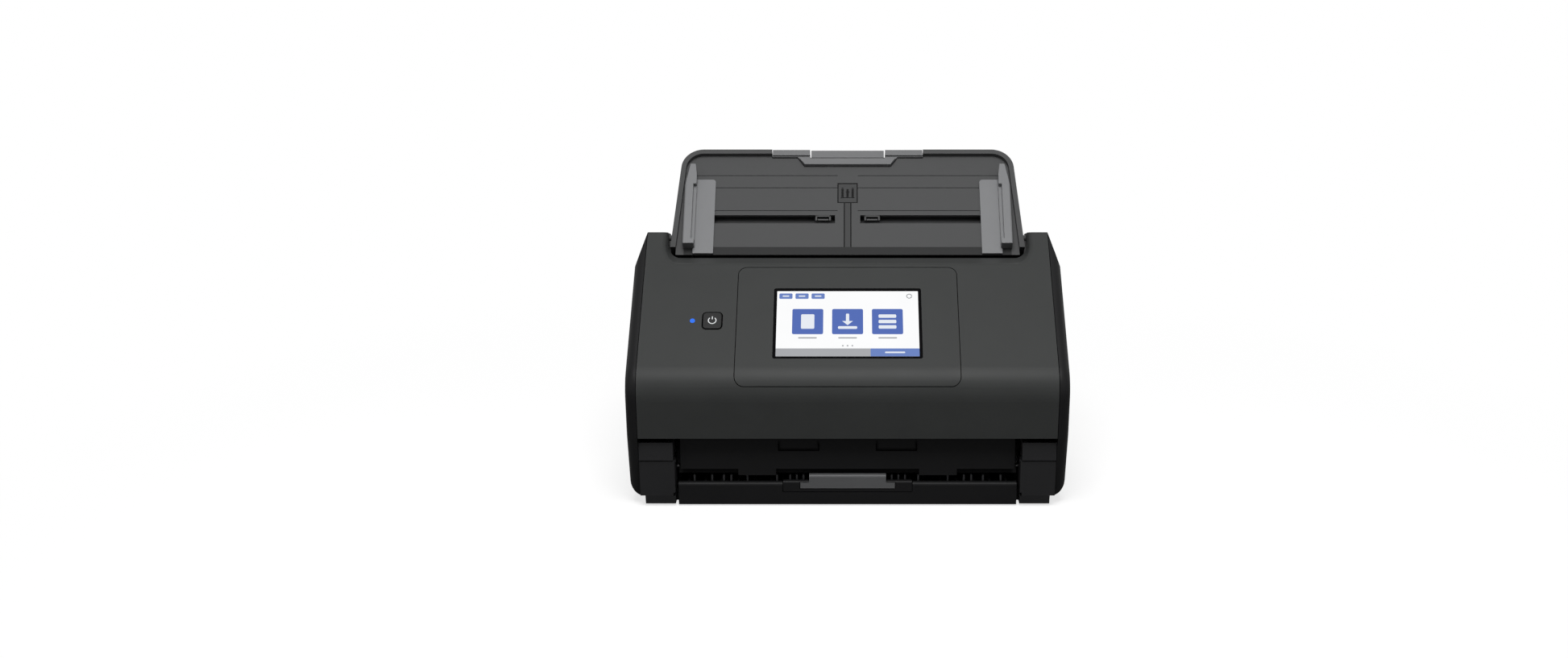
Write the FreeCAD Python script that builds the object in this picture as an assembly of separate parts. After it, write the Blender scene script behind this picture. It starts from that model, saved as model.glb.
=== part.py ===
"""Sheet-fed desktop document scanner with a touch panel, in millimetres.

Machine frame while modelling: X to the right, Y to the back, Z up, floor at Z = 0 and the
foremost line of the front cover near Y = 0. Every piece is shifted at the end so that the
origin is the bottom centre of the whole scanner's box.
"""
import FreeCAD, Part
import math
import os

from FreeCAD import Matrix, Vector

# Driving dimensions: overall, with the widths built outwards from the widest sheet
sheet_width = 217.0
guide_wall_width = 8.0
tray_side_margin = 8.7
tray_taper = 5.8
tray_side_gap = 1.3
horn_width = 14.1
side_wall = 7.4
mouth_inset = 25.6
apron_gap = 2.0
post_gap = 1.6
arm_inset = 5.4
pan_inset = 3.6
frame_inset = 9.6
scan_margin = 1.6
sensor_margin = 1.9
slot_end_gap = 0.5
rear_y = 165.0
deck_z = 149.0
tower_back_y = 122.0
tower_foot_y = 138.0
running_gap = 0.4
seat_gap = 0.3
fit_gap = 0.06

# Front cover profile
cover_bottom_z = 50.5
cover_bottom_y = 3.2
nose_y = -0.6
nose_z = 90.0
nose_radius = 25.0
slope_angle = 39.7
horn_top_z = 171.5
horn_fall = 15.0
horn_chamfer_x = 8.0
horn_chamfer_z = 24.0
ledge_z = 153.8
lip_radius = 4.0
scoop_radius = 9.0
throat_radius = 4.0
side_edge_radius = 6.0
cover_wall = 2.8
cover_side_wall = 2.6

# Paper path, a slanted plane between the cover and the base
path_top_y = 98.5
path_top_z = 150.0
path_angle = 58.9
path_half_gap = 1.2
guide_thickness = 2.5
guide_top_z = 149.6
guide_bottom_z = 20.0
upper_guide_bottom_z = 27.5
upper_guide_top_z = 148.0

# Dark apron in the paper mouth
apron_y = 13.6
apron_thickness = 2.0
apron_low_z = 25.5
apron_tab_z = 21.0
tab_inner_x = 48.5
tab_outer_x = 74.0
mark_inner_x = 19.0
mark_outer_x = 47.0
mark_low_z = 39.0
mark_height = 7.0
mark_line = 1.6
mark_depth = 1.2

# Control panel, measured down the slope from the lip
panel_width = 150.0
panel_top = 3.6
panel_bottom = 99.5
panel_corner = 6.0
panel_groove = 0.5
window_width = 100.6
window_height = 58.4
window_centre = 50.6
window_corner = 1.5
glass_recess = 0.5
glass_border = 2.0
display_thickness = 4.0
board_thickness = 1.6
board_inset = 7.0
board_top_inset = 11.0

# Power button and status lamp
button_margin = 16.6
button_down = 48.8
button_width = 12.6
button_height = 13.2
button_corner = 2.6
button_gap = 0.8
button_proud = 0.5
button_depth = 6.0
lamp_offset = 13.4
lamp_radius = 1.7
lamp_depth = 8.0
lamp_proud = 0.25

# Base casing
side_skin = 3.0
side_rib = 6.0
side_bottom_z = 4.5
side_round = 13.0
side_waist_y = 9.9
side_waist_z = 26.0
side_toe_y = 16.0
shelf_height = 3.0
pan_floor_z = 1.5
pan_thickness = 2.5
pan_front_y = 18.0
runner_front_y = 40.0
post_front_y = 7.6
post_foot_y = 11.0
post_shin_y = 9.4
post_shin_z = 8.0
post_depth = 20.0
post_top_z = 33.0
cap_top_z = 46.4
cap_gap = 0.8
cap_step = 0.8
cap_inset = 4.0
arm_gap = 1.4
rear_wall = 2.6
rear_round = 12.0
deck_front_y = 129.0
frame_thickness = 2.0
chassis_z = 22.0
chassis_thickness = 1.2
frame_back_y = 150.0
frame_step_z = 60.0
frame_drop = 8.0
frame_depth = 30.0
foot_size = 14.0
foot_inset = 19.0
foot_ys = (36.0, 146.0)
screw_inset = 9.0
screw_ys = (60.0, 100.0, 130.0)
screw_radius = 3.2
screw_head = 0.9

# Rear ports, vents and what stands on the chassis
inlet_inset = 47.6
inlet_size = 10.0
usb_inset = 30.1
usb_width = 13.0
usb_height = 11.5
port_z = 30.0
port_depth = 16.0
port_recess = 0.6
port_hole_depth = 10.0
port_wall = 2.0
inlet_bore = 2.8
inlet_pin = 0.8
lock_inset = 23.1
lock_width = 7.0
lock_height = 3.0
vent_count = 21
vent_pitch = 6.0
vent_width = 2.4
vent_low_z = 96.0
vent_high_z = 120.0
main_board_inset = 11.0
main_board_length = 150.0
main_board_height = 58.0
main_board_thickness = 2.0
main_board_y = 112.0
connector_width = 6.0
connector_height = 5.0
connector_depth = 8.0
connector_count = 3
motor_radius = 14.0
motor_length = 30.0
motor_y = 118.0
motor_z = 62.0
case_size = 30.0
case_thickness = 4.0

# Cover hinge, release lever
cover_hinge_y = 14.0
cover_hinge_z = 32.0
cover_pin_radius = 3.0
cover_arm_width = 12.0
cover_hub_wall = 1.2
cap_wall = 2.0
arm_angle = 38.0
arm_rise = 20.0
arm_depth = 12.0
lever_inset = 4.5
lever_width = 10.0
lever_pin_y = 146.0
lever_length = 24.0
lever_pin_radius = 0.8
lever_pin_drop = 1.3
lever_rise = 4.0
lever_sink = 3.6

# Rollers: height of each nip along the path
feed_nip_z = 132.0
drive_nip_z = 108.0
sensor_z = 84.0
eject_nip_z = 56.0
roller_radius = 8.0
pinch_radius = 7.5
shaft_radius = 3.0
pulley_radius = 7.0
belt_thickness = 1.2
belt_width = 3.0
belt_gap = 0.12
tyre_width = 13.0
feed_shaft_reach = 26.0
pinch_shaft_reach = 96.0
ear_thickness = 3.0
ear_height = 12.0
sensor_height = 20.0
sensor_depth = 12.0
scan_glass_height = 16.4
feed_tyre_x = (-13.0, 13.0)
drive_tyre_x = (-82.0, -34.0, 34.0, 82.0)
window_margin = 1.2

# Input tray, in its own frame: t up the slope, n towards the sheets
tray_y = 110.0
tray_z = 164.3
tray_angle = 46.5
tray_low_t = -9.0
tray_top_t = 74.0
tray_corner = 16.0
tray_toe_t = -13.5
tray_toe_gap = 0.6
tray_rim = 3.4
tray_rim_wall = 3.6
tray_plate_thickness = 2.5
tray_depth = 9.0
tray_back_wall = 1.8
tray_lid_wall = 2.4
tray_pin_radius = 2.0
tray_pin_reach = 7.0
tray_hinge_t = 0.8
tray_hinge_n = -0.6
slot_low_t = 12.7
slot_high_t = 19.6
slot_inner_x = 9.0
line_width = 0.7
line_depth = 0.5
line_ts = (53.0, 42.5, 23.0)
clasp_width = 14.6
clasp_low_t = 30.0
clasp_high_t = 47.0
channel_width = 5.4
strip_recess = 0.9
strip_end = 4.5
strip_thickness = 0.7

# Edge guides and their rack and pinion
flange_width = 13.4
flange_thickness = 1.2
flange_corner = 2.5
flange_low_t = -13.0
flange_high_t = 49.0
guide_height = 8.0
guide_low_t = -8.4
guide_high_t = 58.5
outer_shave = 3.4
outer_shave_length = 25.0
inner_shave = 1.4
inner_shave_length = 17.0
groove_inset = 4.0
groove_width = 2.2
groove_depth = 3.5
foot_width = 6.0
foot_length = 4.0
gear_module = 1.0
pinion_teeth = 16
tooth_share = 0.40
rack_height = 4.0
rack_thickness = 1.6
rack_arm = 8.0
rack_reach = 9.0
pinion_bore = 2.06

# Tray extensions
handle_half = 54.5
handle_low_half = 37.0
handle_step_t = 68.8
handle_low_t = 61.6
inner_half = 26.4
slit = 0.9
handle_recess = 0.6
handle_notch = 2.0
inner_recess = 0.2
extension_low_t = 27.0
extension_thickness = 2.0
inner_extension_low_t = 33.0

# Output tray stages
out_front_y = 11.4
out_lip = 3.2
out_lip_round = 2.4
second_lip_round = 1.6
third_lip_round = 2.0
out_low_z = 0.8
out_lip_z = 16.6
out_plate_z = 7.5
out_plate_thickness = 2.0
out_back_y = 140.0
tongue = 2.6
second_half = 43.6
second_lip_z = 17.6
third_half = 26.0
third_low_half = 32.0
third_low_height = 4.0
third_lip_z = 22.0
stage_gap = 0.5
stage_recess = 0.2
stage_plate = 1.8
rib_height = 3.0
rib_width = 1.4
rib_end_y = 60.0
rib_edge = 7.0
rib_pitch = 11.2
stage_rib_pitch = 5.0
tongue_front_y = 36.0
stage_shortening = 16.0

# Worked-out values
guide_outer_x = sheet_width / 2 + guide_wall_width
tray_low_half = guide_outer_x + tray_side_margin
tray_top_half = tray_low_half - tray_taper
slot_outer_x = guide_outer_x + slot_end_gap
horn_inner_x = tray_low_half + tray_side_gap
side_inner = horn_inner_x + horn_width
half = side_inner + side_wall
mouth_half_width = side_inner - mouth_inset
apron_half = mouth_half_width - apron_gap
post_inner_x = mouth_half_width + post_gap
cover_arm_x = post_inner_x + arm_inset
pan_half_width = side_inner - pan_inset
frame_x = side_inner - frame_inset
lever_x = lever_inset - horn_inner_x
scan_half = sheet_width / 2 + scan_margin
button_x = -panel_width / 2 - button_margin
lamp_x = button_x - lamp_offset
slope = Vector(0, math.cos(math.radians(slope_angle)), math.sin(math.radians(slope_angle)))
slope_out = Vector(0, -slope.z, slope.y)
path = Vector(0, math.cos(math.radians(path_angle)), math.sin(math.radians(path_angle)))
path_back = Vector(0, path.z, -path.y)
lip_y = nose_y + (ledge_z - nose_z) * slope.y / slope.z
cover_half = side_inner - running_gap
shell_drop = cover_wall / 2
shell_inset = cover_wall * (1 + slope.z) / (2 * slope.z)
slope_wall = shell_inset * slope.z + shell_drop * slope.y
horn_top_y = nose_y + (horn_top_z - nose_z) * slope.y / slope.z
out_floor = out_plate_z + out_plate_thickness


def horn_z(y):
    """Height of the horns' top, which falls towards the back."""
    return horn_top_z - (y - horn_top_y) * math.tan(math.radians(horn_fall))


def horn_corner(back):
    """(y, z) where the horns' top meets the parting plane, moved back square to the path."""
    fall = math.tan(math.radians(horn_fall))
    lean = path.y / path.z
    z = (horn_top_z + fall * (horn_top_y - path_y(0, back))) / (1 + fall * lean)
    return path_y(z, back), z


def path_y(z, back=0.0):
    """Y of the paper path at a height, moved back square to the path."""
    return path_top_y + (z - path_top_z) * path.y / path.z + back / path.z


def on_path(z, back):
    """Point (y, z) that lies a distance behind the path's point at height z."""
    return path_y(z) + back * path_back.y, z + back * path_back.z


def box(x0, x1, y0, y1, z0, z1):
    return Part.makeBox(x1 - x0, y1 - y0, z1 - z0, Vector(x0, y0, z0))


def prism(points, travel):
    return Part.Face(Part.makePolygon(points + points[:1])).extrude(travel)


def prism_x(outline, x0, x1):
    """Outline of (y, z) points, swept from x0 to x1."""
    return prism([Vector(x0, y, z) for y, z in outline], Vector(x1 - x0, 0, 0))


def prism_y(outline, y0, y1):
    """Outline of (x, z) points, swept from y0 to y1."""
    return prism([Vector(x, y0, z) for x, z in outline], Vector(0, y1 - y0, 0))


def prism_z(outline, z0, z1):
    """Outline of (x, y) points, swept from z0 to z1."""
    return prism([Vector(x, y, z0) for x, y in outline], Vector(0, 0, z1 - z0))


def rod_x(y, z, radius, x0, x1):
    return Part.makeCylinder(radius, x1 - x0, Vector(x0, y, z), Vector(1, 0, 0))


def mirrored(shape):
    return shape.mirror(Vector(0, 0, 0), Vector(1, 0, 0))


def rounded(shape, radius, wanted):
    """Fillets the edges whose middle passes a test."""
    edges = [e for e in shape.Edges if wanted(e.valueAt((e.FirstParameter + e.LastParameter) / 2), e)]
    return shape.makeFillet(radius, edges)


def along_x(edge):
    start, end = edge.Vertexes[0].Point, edge.Vertexes[-1].Point
    return abs(start.y - end.y) < 1e-6 and abs(start.z - end.z) < 1e-6


def rounded_plate(width, height, corner, thickness):
    """Plate in the local XY plane about its centre, from z = 0 upwards."""
    plate = box(-width / 2, width / 2, -height / 2, height / 2, 0, thickness)
    return rounded(plate, corner, lambda p, e: abs(e.Vertexes[0].Z - e.Vertexes[-1].Z) > thickness / 2)


def on_slope(shape, down, x=0.0, out=0.0):
    """Puts a local shape on the sloped face: local y up the slope, local z out of it."""
    lip = Vector(0, lip_y, ledge_z)
    place = lip - slope * down + slope_out * out + Vector(x, 0, 0)
    return shape.transformed(frame_matrix(slope, slope_out, place))


def frame_matrix(up, out, place):
    """Matrix that takes local x, y, z to X, up and out, at a place."""
    return Matrix(1, 0, 0, place.x, 0, up.y, out.y, place.y, 0, up.z, out.z, place.z, 0, 0, 0, 1)


def on_tray(shape):
    """Puts a local shape on the input tray: local y is t, local z is n."""
    angle = math.radians(tray_angle)
    up = Vector(0, math.cos(angle), math.sin(angle))
    out = Vector(0, -math.sin(angle), math.cos(angle))
    return shape.transformed(frame_matrix(up, out, Vector(0, tray_y, tray_z)))


def along_path(x0, x1, z0, z1, back0, back1):
    """Slab between two heights, and between two distances behind the path."""
    low, high = (path_y(z0, back0), path_y(z0, back1)), (path_y(z1, back0), path_y(z1, back1))
    outline = [(low[0], z0), (low[1], z0), (high[1], z1), (high[0], z1)]
    return prism_x(outline, x0, x1)


def slanted_box(x0, x1, z, length, back0, back1):
    """Box square to the path, centred on the path's point at height z."""
    local = box(x0, x1, -length / 2, length / 2, -back1, -back0)
    front = Vector(0, -path_back.y, -path_back.z)
    return local.transformed(frame_matrix(path, front, Vector(0, path_y(z), z)))


# Front cover


def cover_outer():
    """Full outer volume of the front cover, with its horns and the scooped ledge between them."""
    outline = [
        (cover_bottom_y, cover_bottom_z),
        (nose_y, nose_z),
        (horn_top_y, horn_top_z),
        horn_corner(-running_gap),
        (path_y(cover_bottom_z, -running_gap), cover_bottom_z),
    ]
    body = prism_x(outline, -cover_half, cover_half)
    body = rounded(body, nose_radius, lambda p, e: along_x(e) and abs(p.z - nose_z) < 1)
    above = horn_top_z + 1
    scoop = box(-horn_inner_x, horn_inner_x, nose_y - 1, rear_y, ledge_z, above)
    scoop = rounded(
        scoop, scoop_radius, lambda p, e: abs(p.z - ledge_z) < 1e-6 and abs(abs(p.x) - horn_inner_x) < 1e-6
    )
    body = body.cut(scoop)
    body = rounded(
        body, lip_radius, lambda p, e: along_x(e) and abs(p.z - ledge_z) < 0.1 and abs(p.y - lip_y) < 1
    )
    return rounded(
        body, throat_radius, lambda p, e: along_x(e) and abs(p.z - ledge_z) < 0.1 and p.y > lip_y + 5
    )


def cover_shell():
    """Outer volume hollowed from behind."""
    outer = cover_outer()
    inner_x = cover_half - cover_side_wall
    top_z = ledge_z - cover_wall
    top_y = nose_y + (top_z + shell_drop - nose_z) * slope.y / slope.z + shell_inset
    outline = [
        (cover_bottom_y + shell_inset, cover_bottom_z - 5),
        (nose_y + shell_inset, nose_z - shell_drop),
        (top_y, top_z),
        (rear_y, top_z),
        (rear_y, cover_bottom_z - 5),
    ]
    hollow = prism_x(outline, -inner_x, inner_x)
    round_in = nose_radius - cover_wall
    middle_y = (nose_y + rear_y) / 2
    hollow = rounded(
        hollow, round_in, lambda p, e: along_x(e) and abs(p.z - nose_z + shell_drop) < 0.1 and p.y < middle_y
    )
    return outer.cut(hollow)


def panel_block(grow):
    """Rounded block square to the slope that bounds the control panel."""
    length = panel_bottom - panel_top
    deep = nose_radius
    block = rounded_plate(panel_width + 2 * grow, length + 2 * grow, panel_corner + grow, deep + cover_wall)
    return on_slope(block, (panel_top + panel_bottom) / 2, 0, -deep)


def window_block(grow, low, high):
    block = rounded_plate(window_width + 2 * grow, window_height + 2 * grow, window_corner + grow, high - low)
    return on_slope(block, window_centre, 0, low)


def button_block(grow, low, high):
    width, height = button_width + 2 * grow, button_height + 2 * grow
    block = rounded_plate(width, height, button_corner + grow, high - low)
    return on_slope(block, button_down, button_x, low)


def lamp_rod(radius, low, high):
    rod = Part.makeCylinder(radius, high - low)
    return on_slope(rod, button_down, lamp_x, low)


def make_cover_pieces():
    shell = cover_shell()
    deep = 12.0
    cover = shell.cut(panel_block(panel_groove)).cut(button_block(button_gap, -deep, deep))
    cover = cover.cut(lamp_rod(lamp_radius + fit_gap, -deep, deep))
    panel = shell.common(panel_block(0)).cut(window_block(0, -deep, deep))
    display_front = -slope_wall - fit_gap
    glass_top = -glass_recess
    glass = window_block(-fit_gap, display_front, glass_top)
    display = window_block(glass_border, display_front - display_thickness, display_front)
    board_half = panel_width / 2 - board_inset
    board_low = window_centre - panel_bottom + board_inset
    board_high = window_centre - panel_top - board_top_inset
    board = box(-board_half, board_half, board_low, board_high, 0, board_thickness)
    board = on_slope(board, window_centre, 0, display_front - display_thickness - board_thickness)
    lamp = lamp_rod(lamp_radius, -lamp_depth, lamp_proud)
    return {
        "front_cover": cover,
        "control_panel": panel,
        "touch_glass": glass,
        "display_module": display,
        "panel_board": board,
        "status_lamp": lamp,
    }


def make_power_button():
    cap = button_block(0, -button_depth, button_proud)
    return rounded(cap, 0.5, lambda p, e: top_of_slope(p, button_proud))


def top_of_slope(point, out):
    """True where a point lies a distance out of the sloped face."""
    return abs((point - Vector(point.x, lip_y, ledge_z)).dot(slope_out) - out) < 1e-4


# Paper path


def roller_windows(xs, nip_z, radius, back):
    """Cutters around a row of tyres."""
    y, z = on_path(nip_z, back)
    spread = tyre_width / 2 + window_margin
    return [rod_x(y, z, radius + window_margin, x - spread, x + spread) for x in xs]


def scan_window():
    """Cutter for the opening that a scan glass sits in."""
    reach = scan_half + seat_gap
    depth = path_half_gap + guide_thickness + 1
    return slanted_box(-reach, reach, sensor_z, scan_glass_height + 2 * seat_gap, -depth, depth)


def make_upper_guide():
    front, rear = -path_half_gap - guide_thickness, -path_half_gap
    wide_x = cover_half - cover_side_wall - seat_gap
    wide = along_path(-wide_x, wide_x, cover_bottom_z + 1, upper_guide_top_z, front, rear)
    skirt = along_path(
        -mouth_half_width, mouth_half_width, upper_guide_bottom_z, cover_bottom_z + 1, front, rear
    )
    guide = wide.fuse(skirt)
    cuts = roller_windows(feed_tyre_x, feed_nip_z, pinch_radius, -pinch_radius)
    cuts += roller_windows(drive_tyre_x, drive_nip_z, pinch_radius, -pinch_radius)
    cuts += roller_windows(drive_tyre_x, eject_nip_z, pinch_radius, -pinch_radius)
    cuts.append(scan_window())
    for cutter in cuts:
        guide = guide.cut(cutter)
    return guide.removeSplitter()


def make_apron():
    """Dark wall in the mouth: lower tabs, two U-shaped marks and a shelf back to the upper guide."""
    back_y = apron_y + apron_thickness
    shelf_top = cover_bottom_z - seat_gap
    shelf_back = path_y(shelf_top - apron_thickness, -path_half_gap - guide_thickness) - seat_gap
    apron = box(-apron_half, apron_half, apron_y, back_y, apron_low_z, shelf_top)
    shelf_low = shelf_top - apron_thickness
    apron = apron.fuse(box(-apron_half, apron_half, apron_y, shelf_back, shelf_low, shelf_top))
    for side in (-1, 1):
        low, high = sorted((side * tab_inner_x, side * tab_outer_x))
        apron = apron.fuse(box(low, high, apron_y, back_y, apron_tab_z, apron_low_z))
        low, high = sorted((side * mark_inner_x, side * mark_outer_x))
        mark = box(low, high, apron_y - 1, apron_y + mark_depth, mark_low_z, mark_low_z + mark_height)
        inside_low = mark_low_z + mark_line
        mark = mark.cut(box(low + mark_line, high - mark_line, 0, back_y, inside_low, cover_bottom_z))
        apron = apron.cut(mark)
    return apron.removeSplitter()


def make_lower_guide():
    front, rear = path_half_gap, path_half_gap + guide_thickness
    wide_x = frame_x + frame_thickness
    low = along_path(-mouth_half_width, mouth_half_width, guide_bottom_z, chassis_z + 3, front, rear)
    middle = along_path(-mouth_half_width, mouth_half_width, chassis_z + 3, post_top_z + 3, front, rear)
    wide = along_path(-wide_x, wide_x, post_top_z + 3, deck_z - 4, front, rear)
    inner = horn_inner_x - 2
    high = along_path(-inner, inner, deck_z - 4, guide_top_z, front, rear)
    guide = low.fuse([middle, wide, high])
    cuts = roller_windows(feed_tyre_x, feed_nip_z, roller_radius, roller_radius)
    cuts += roller_windows(drive_tyre_x, drive_nip_z, roller_radius, roller_radius)
    cuts += roller_windows(drive_tyre_x, eject_nip_z, roller_radius, roller_radius)
    cuts.append(scan_window())
    for cutter in cuts:
        guide = guide.cut(cutter)
    return guide.removeSplitter()


def make_scan_pieces():
    """Glass strips and contact image sensors on both sides of the path."""
    sensor_half = scan_half + sensor_margin
    pieces = {}
    for name, side in (("lower", 1), ("upper", -1)):
        near, far = sorted((side * path_half_gap, side * (path_half_gap + guide_thickness)))
        glass = slanted_box(-scan_half, scan_half, sensor_z, scan_glass_height, near, far)
        pieces[name + "_scan_glass"] = glass
        first = side * (path_half_gap + guide_thickness)
        near, far = sorted((first, first + side * sensor_depth))
        bar = slanted_box(-sensor_half, sensor_half, sensor_z, sensor_height, near, far)
        pieces[name + "_sensor_bar"] = bar
    return pieces


def make_roller(nip_z, xs, radius, back, reach):
    """Shaft and tyres of one roller."""
    y, z = on_path(nip_z, back)
    shaft = rod_x(y, z, shaft_radius, -reach, reach)
    core = rod_x(y, z, shaft_radius + seat_gap, -reach, reach)
    tyres = []
    for x in xs:
        tyre = rod_x(y, z, radius - fit_gap, x - tyre_width / 2, x + tyre_width / 2)
        tyres.append(tyre.cut(core.common(tyre)))
    hub = [rod_x(y, z, shaft_radius + seat_gap, x - tyre_width / 2, x + tyre_width / 2) for x in xs]
    return shaft.fuse(hub), Part.makeCompound(tyres)


def make_base_rollers():
    nips = {
        "feed": (feed_nip_z, feed_tyre_x),
        "drive": (drive_nip_z, drive_tyre_x),
        "eject": (eject_nip_z, drive_tyre_x),
    }
    reach = frame_x + frame_thickness + 1.0
    pieces = {}
    for name, (nip_z, xs) in nips.items():
        shaft, tyres = make_roller(nip_z, xs, roller_radius, roller_radius, reach)
        y, z = on_path(nip_z, roller_radius)
        pulley = rod_x(y, z, pulley_radius, -reach - belt_width, -reach)
        rim = rod_x(y, z, shaft_radius, -reach - belt_width, -reach)
        pieces[name + "_roller_shaft"] = shaft.fuse([pulley, rim])
        pieces[name + "_roller_tyres"] = tyres
    return pieces


def make_cover_rollers():
    """Separation roller and pinch rollers, carried by ears on the upper guide."""
    nips = {
        "separation": (feed_nip_z, feed_tyre_x, feed_shaft_reach),
        "drive_pinch": (drive_nip_z, drive_tyre_x, pinch_shaft_reach),
        "eject_pinch": (eject_nip_z, drive_tyre_x, pinch_shaft_reach),
    }
    pieces = {}
    for name, (nip_z, xs, reach) in nips.items():
        shaft, tyres = make_roller(nip_z, xs, pinch_radius, -pinch_radius, reach)
        pieces[name + "_shaft"] = shaft
        pieces[name + "_tyres"] = tyres
    return pieces


def make_roller_ears():
    """Bearing ears that stand on the front of the upper guide, two for each shaft."""
    front = -path_half_gap - guide_thickness
    ears = []
    reaches = {feed_nip_z: feed_shaft_reach, drive_nip_z: pinch_shaft_reach, eject_nip_z: pinch_shaft_reach}
    depth = 2 * pinch_radius - shaft_radius / 2
    for nip_z, reach in reaches.items():
        y, z = on_path(nip_z, -pinch_radius)
        bore = rod_x(y, z, shaft_radius + fit_gap, -half, half)
        for side in (-1, 1):
            x0, x1 = sorted((side * (reach - 1 - ear_thickness), side * (reach - 1)))
            ears.append(slanted_box(x0, x1, nip_z, ear_height, -depth, front).cut(bore))
    return Part.makeCompound(ears)


def make_belt():
    """Toothed belt as a plain loop round the three pulleys of the base rollers."""
    x1 = -(frame_x + frame_thickness + 1.0)
    x0 = x1 - belt_width
    ends = [on_path(nip, roller_radius) for nip in (eject_nip_z, feed_nip_z)]

    def loop(radius):
        rods = [rod_x(y, z, radius, x0, x1) for y, z in ends]
        length = math.dist(ends[0], ends[1])
        middle_z = (eject_nip_z + feed_nip_z) / 2
        bar = slanted_box(x0, x1, middle_z, length, roller_radius - radius, roller_radius + radius)
        return rods[0].fuse([rods[1], bar]).removeSplitter()

    inner = pulley_radius + belt_gap
    return loop(inner + belt_thickness).cut(loop(inner))


# Base casing


def make_side_cover():
    """Left side cover, the full outline of the machine; its tower carries the tray's hinge pin."""
    outline = [
        (side_toe_y, side_bottom_z),
        (side_waist_y, side_waist_z),
        (cover_bottom_y, cover_bottom_z),
        (nose_y, nose_z),
        (horn_top_y, horn_top_z),
        (tower_back_y, horn_z(tower_back_y)),
        (tower_foot_y, deck_z),
        (rear_y - rear_round, deck_z),
        (rear_y, deck_z - rear_round),
        (rear_y, side_bottom_z),
    ]
    plate = prism_x(outline, -half, -side_inner)
    plate = rounded(plate, nose_radius, lambda p, e: along_x(e) and abs(p.z - nose_z) < 1)
    front_y, low_z = horn_top_y - 1, side_bottom_z + 1
    plate = rounded(
        plate, side_edge_radius, lambda p, e: abs(p.x + half) < 1e-6 and p.y < front_y and p.z > low_z
    )
    section = box(-half, 0, -20, rear_y + 1, side_bottom_z, horn_top_z)
    section = rounded(
        section, side_round, lambda p, e: abs(p.z - side_bottom_z) < 1e-6 and abs(p.x + half) < 1e-6
    )
    face = Part.Face(Part.makePolygon([Vector(-half + side_skin, y, z) for y, z in outline + outline[:1]]))
    pocket = face.makeOffset2D(-side_rib - side_round / 2).extrude(Vector(side_wall, 0, 0))
    plate = plate.common(section).cut(pocket)
    shelf_front, shelf_back = post_front_y + post_depth + 1, rear_y - rear_wall - seat_gap
    shelf_top = side_bottom_z + shelf_height
    shelf = box(
        -side_inner - 1, -pan_half_width - seat_gap, shelf_front, shelf_back, side_bottom_z, shelf_top
    )
    parting = path_y(deck_z, running_gap)
    tower_outline = [
        (parting, deck_z),
        horn_corner(running_gap),
        (tower_back_y, horn_z(tower_back_y)),
        (tower_foot_y, deck_z),
    ]
    tower = prism_x(tower_outline, -side_inner - 1, -horn_inner_x)
    plate = plate.fuse([shelf, tower])
    above = horn_top_z + 1
    corner = [(-half + horn_chamfer_x, above), (-half - 1, above), (-half - 1, horn_top_z - horn_chamfer_z)]
    plate = plate.cut(prism_y(corner, nose_y - 20, rear_y + 1)).removeSplitter()
    pin_y, pin_z = tray_hinge()
    bore_end = -horn_inner_x - tray_pin_reach - 1
    return plate.cut(rod_x(pin_y, pin_z, tray_pin_radius + fit_gap, bore_end, -horn_inner_x + 1))


def tray_hinge():
    """(y, z) of the input tray's hinge line."""
    angle = math.radians(tray_angle)
    y = tray_y + tray_hinge_t * math.cos(angle) - tray_hinge_n * math.sin(angle)
    z = tray_z + tray_hinge_t * math.sin(angle) + tray_hinge_n * math.cos(angle)
    return y, z


def make_rear_cover():
    """Rear wall and top deck, with vents, port cut-outs and a lock slot."""
    inner_x = side_inner - seat_gap
    outer = box(-inner_x, inner_x, deck_front_y, rear_y, side_bottom_z, deck_z)
    outer = rounded(
        outer, rear_round, lambda p, e: along_x(e) and abs(p.z - deck_z) < 1e-6 and p.y > rear_y - 1
    )
    inside = [
        (deck_front_y - 1, deck_z - rear_wall),
        (rear_y - rear_wall, deck_z - rear_wall),
        (rear_y - rear_wall, side_bottom_z - 1),
        (deck_front_y - 1, side_bottom_z - 1),
    ]
    hollow = prism_x(inside, -inner_x - 1, inner_x + 1)
    hollow = rounded(
        hollow, rear_round - rear_wall, lambda p, e: along_x(e) and p.z > deck_z - 5 and p.y > rear_y - 5
    )
    cover = outer.cut(hollow)
    back0, back1 = rear_y - 2 * rear_wall, rear_y + 1
    cuts = [opening.cut(box(-half, half, 0, back0, 0, deck_z)) for opening in port_blocks(seat_gap)]
    first = -vent_pitch * (vent_count - 1) / 2
    for number in range(vent_count):
        x = first + number * vent_pitch - vent_width / 2
        cuts.append(box(x, x + vent_width, back0, back1, vent_low_z, vent_high_z))
    lock_x = -side_inner + lock_inset - lock_width / 2
    cuts.append(box(lock_x, lock_x + lock_width, back0, back1, port_z, port_z + lock_height))
    lever_x0, lever_x1 = lever_x - running_gap, lever_x + lever_width + running_gap
    cuts.append(box(lever_x0, lever_x1, lever_pin_y - lever_length, lever_pin_y + 5, deck_z - 5, deck_z + 1))
    bore = (lever_x0 - 4, lever_x1 + 4)
    cuts.append(rod_x(lever_pin_y, deck_z - lever_pin_drop, lever_pin_radius + fit_gap, bore[0], bore[1]))
    for cutter in cuts:
        cover = cover.cut(cutter)
    return cover


def port_blocks(grow):
    """Blocks of the power inlet and the USB socket, grown all round for their openings."""
    blocks = []
    front, back = rear_y - port_depth, rear_y - port_recess + 3 * grow
    for inset, width, height in ((inlet_inset, inlet_size, inlet_size), (usb_inset, usb_width, usb_height)):
        x0 = side_inner - inset - width / 2
        low, high = port_z + seat_gap - grow, port_z + height - seat_gap + grow
        blocks.append(box(x0 + seat_gap - grow, x0 + width - seat_gap + grow, front, back, low, high))
    return blocks


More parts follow.
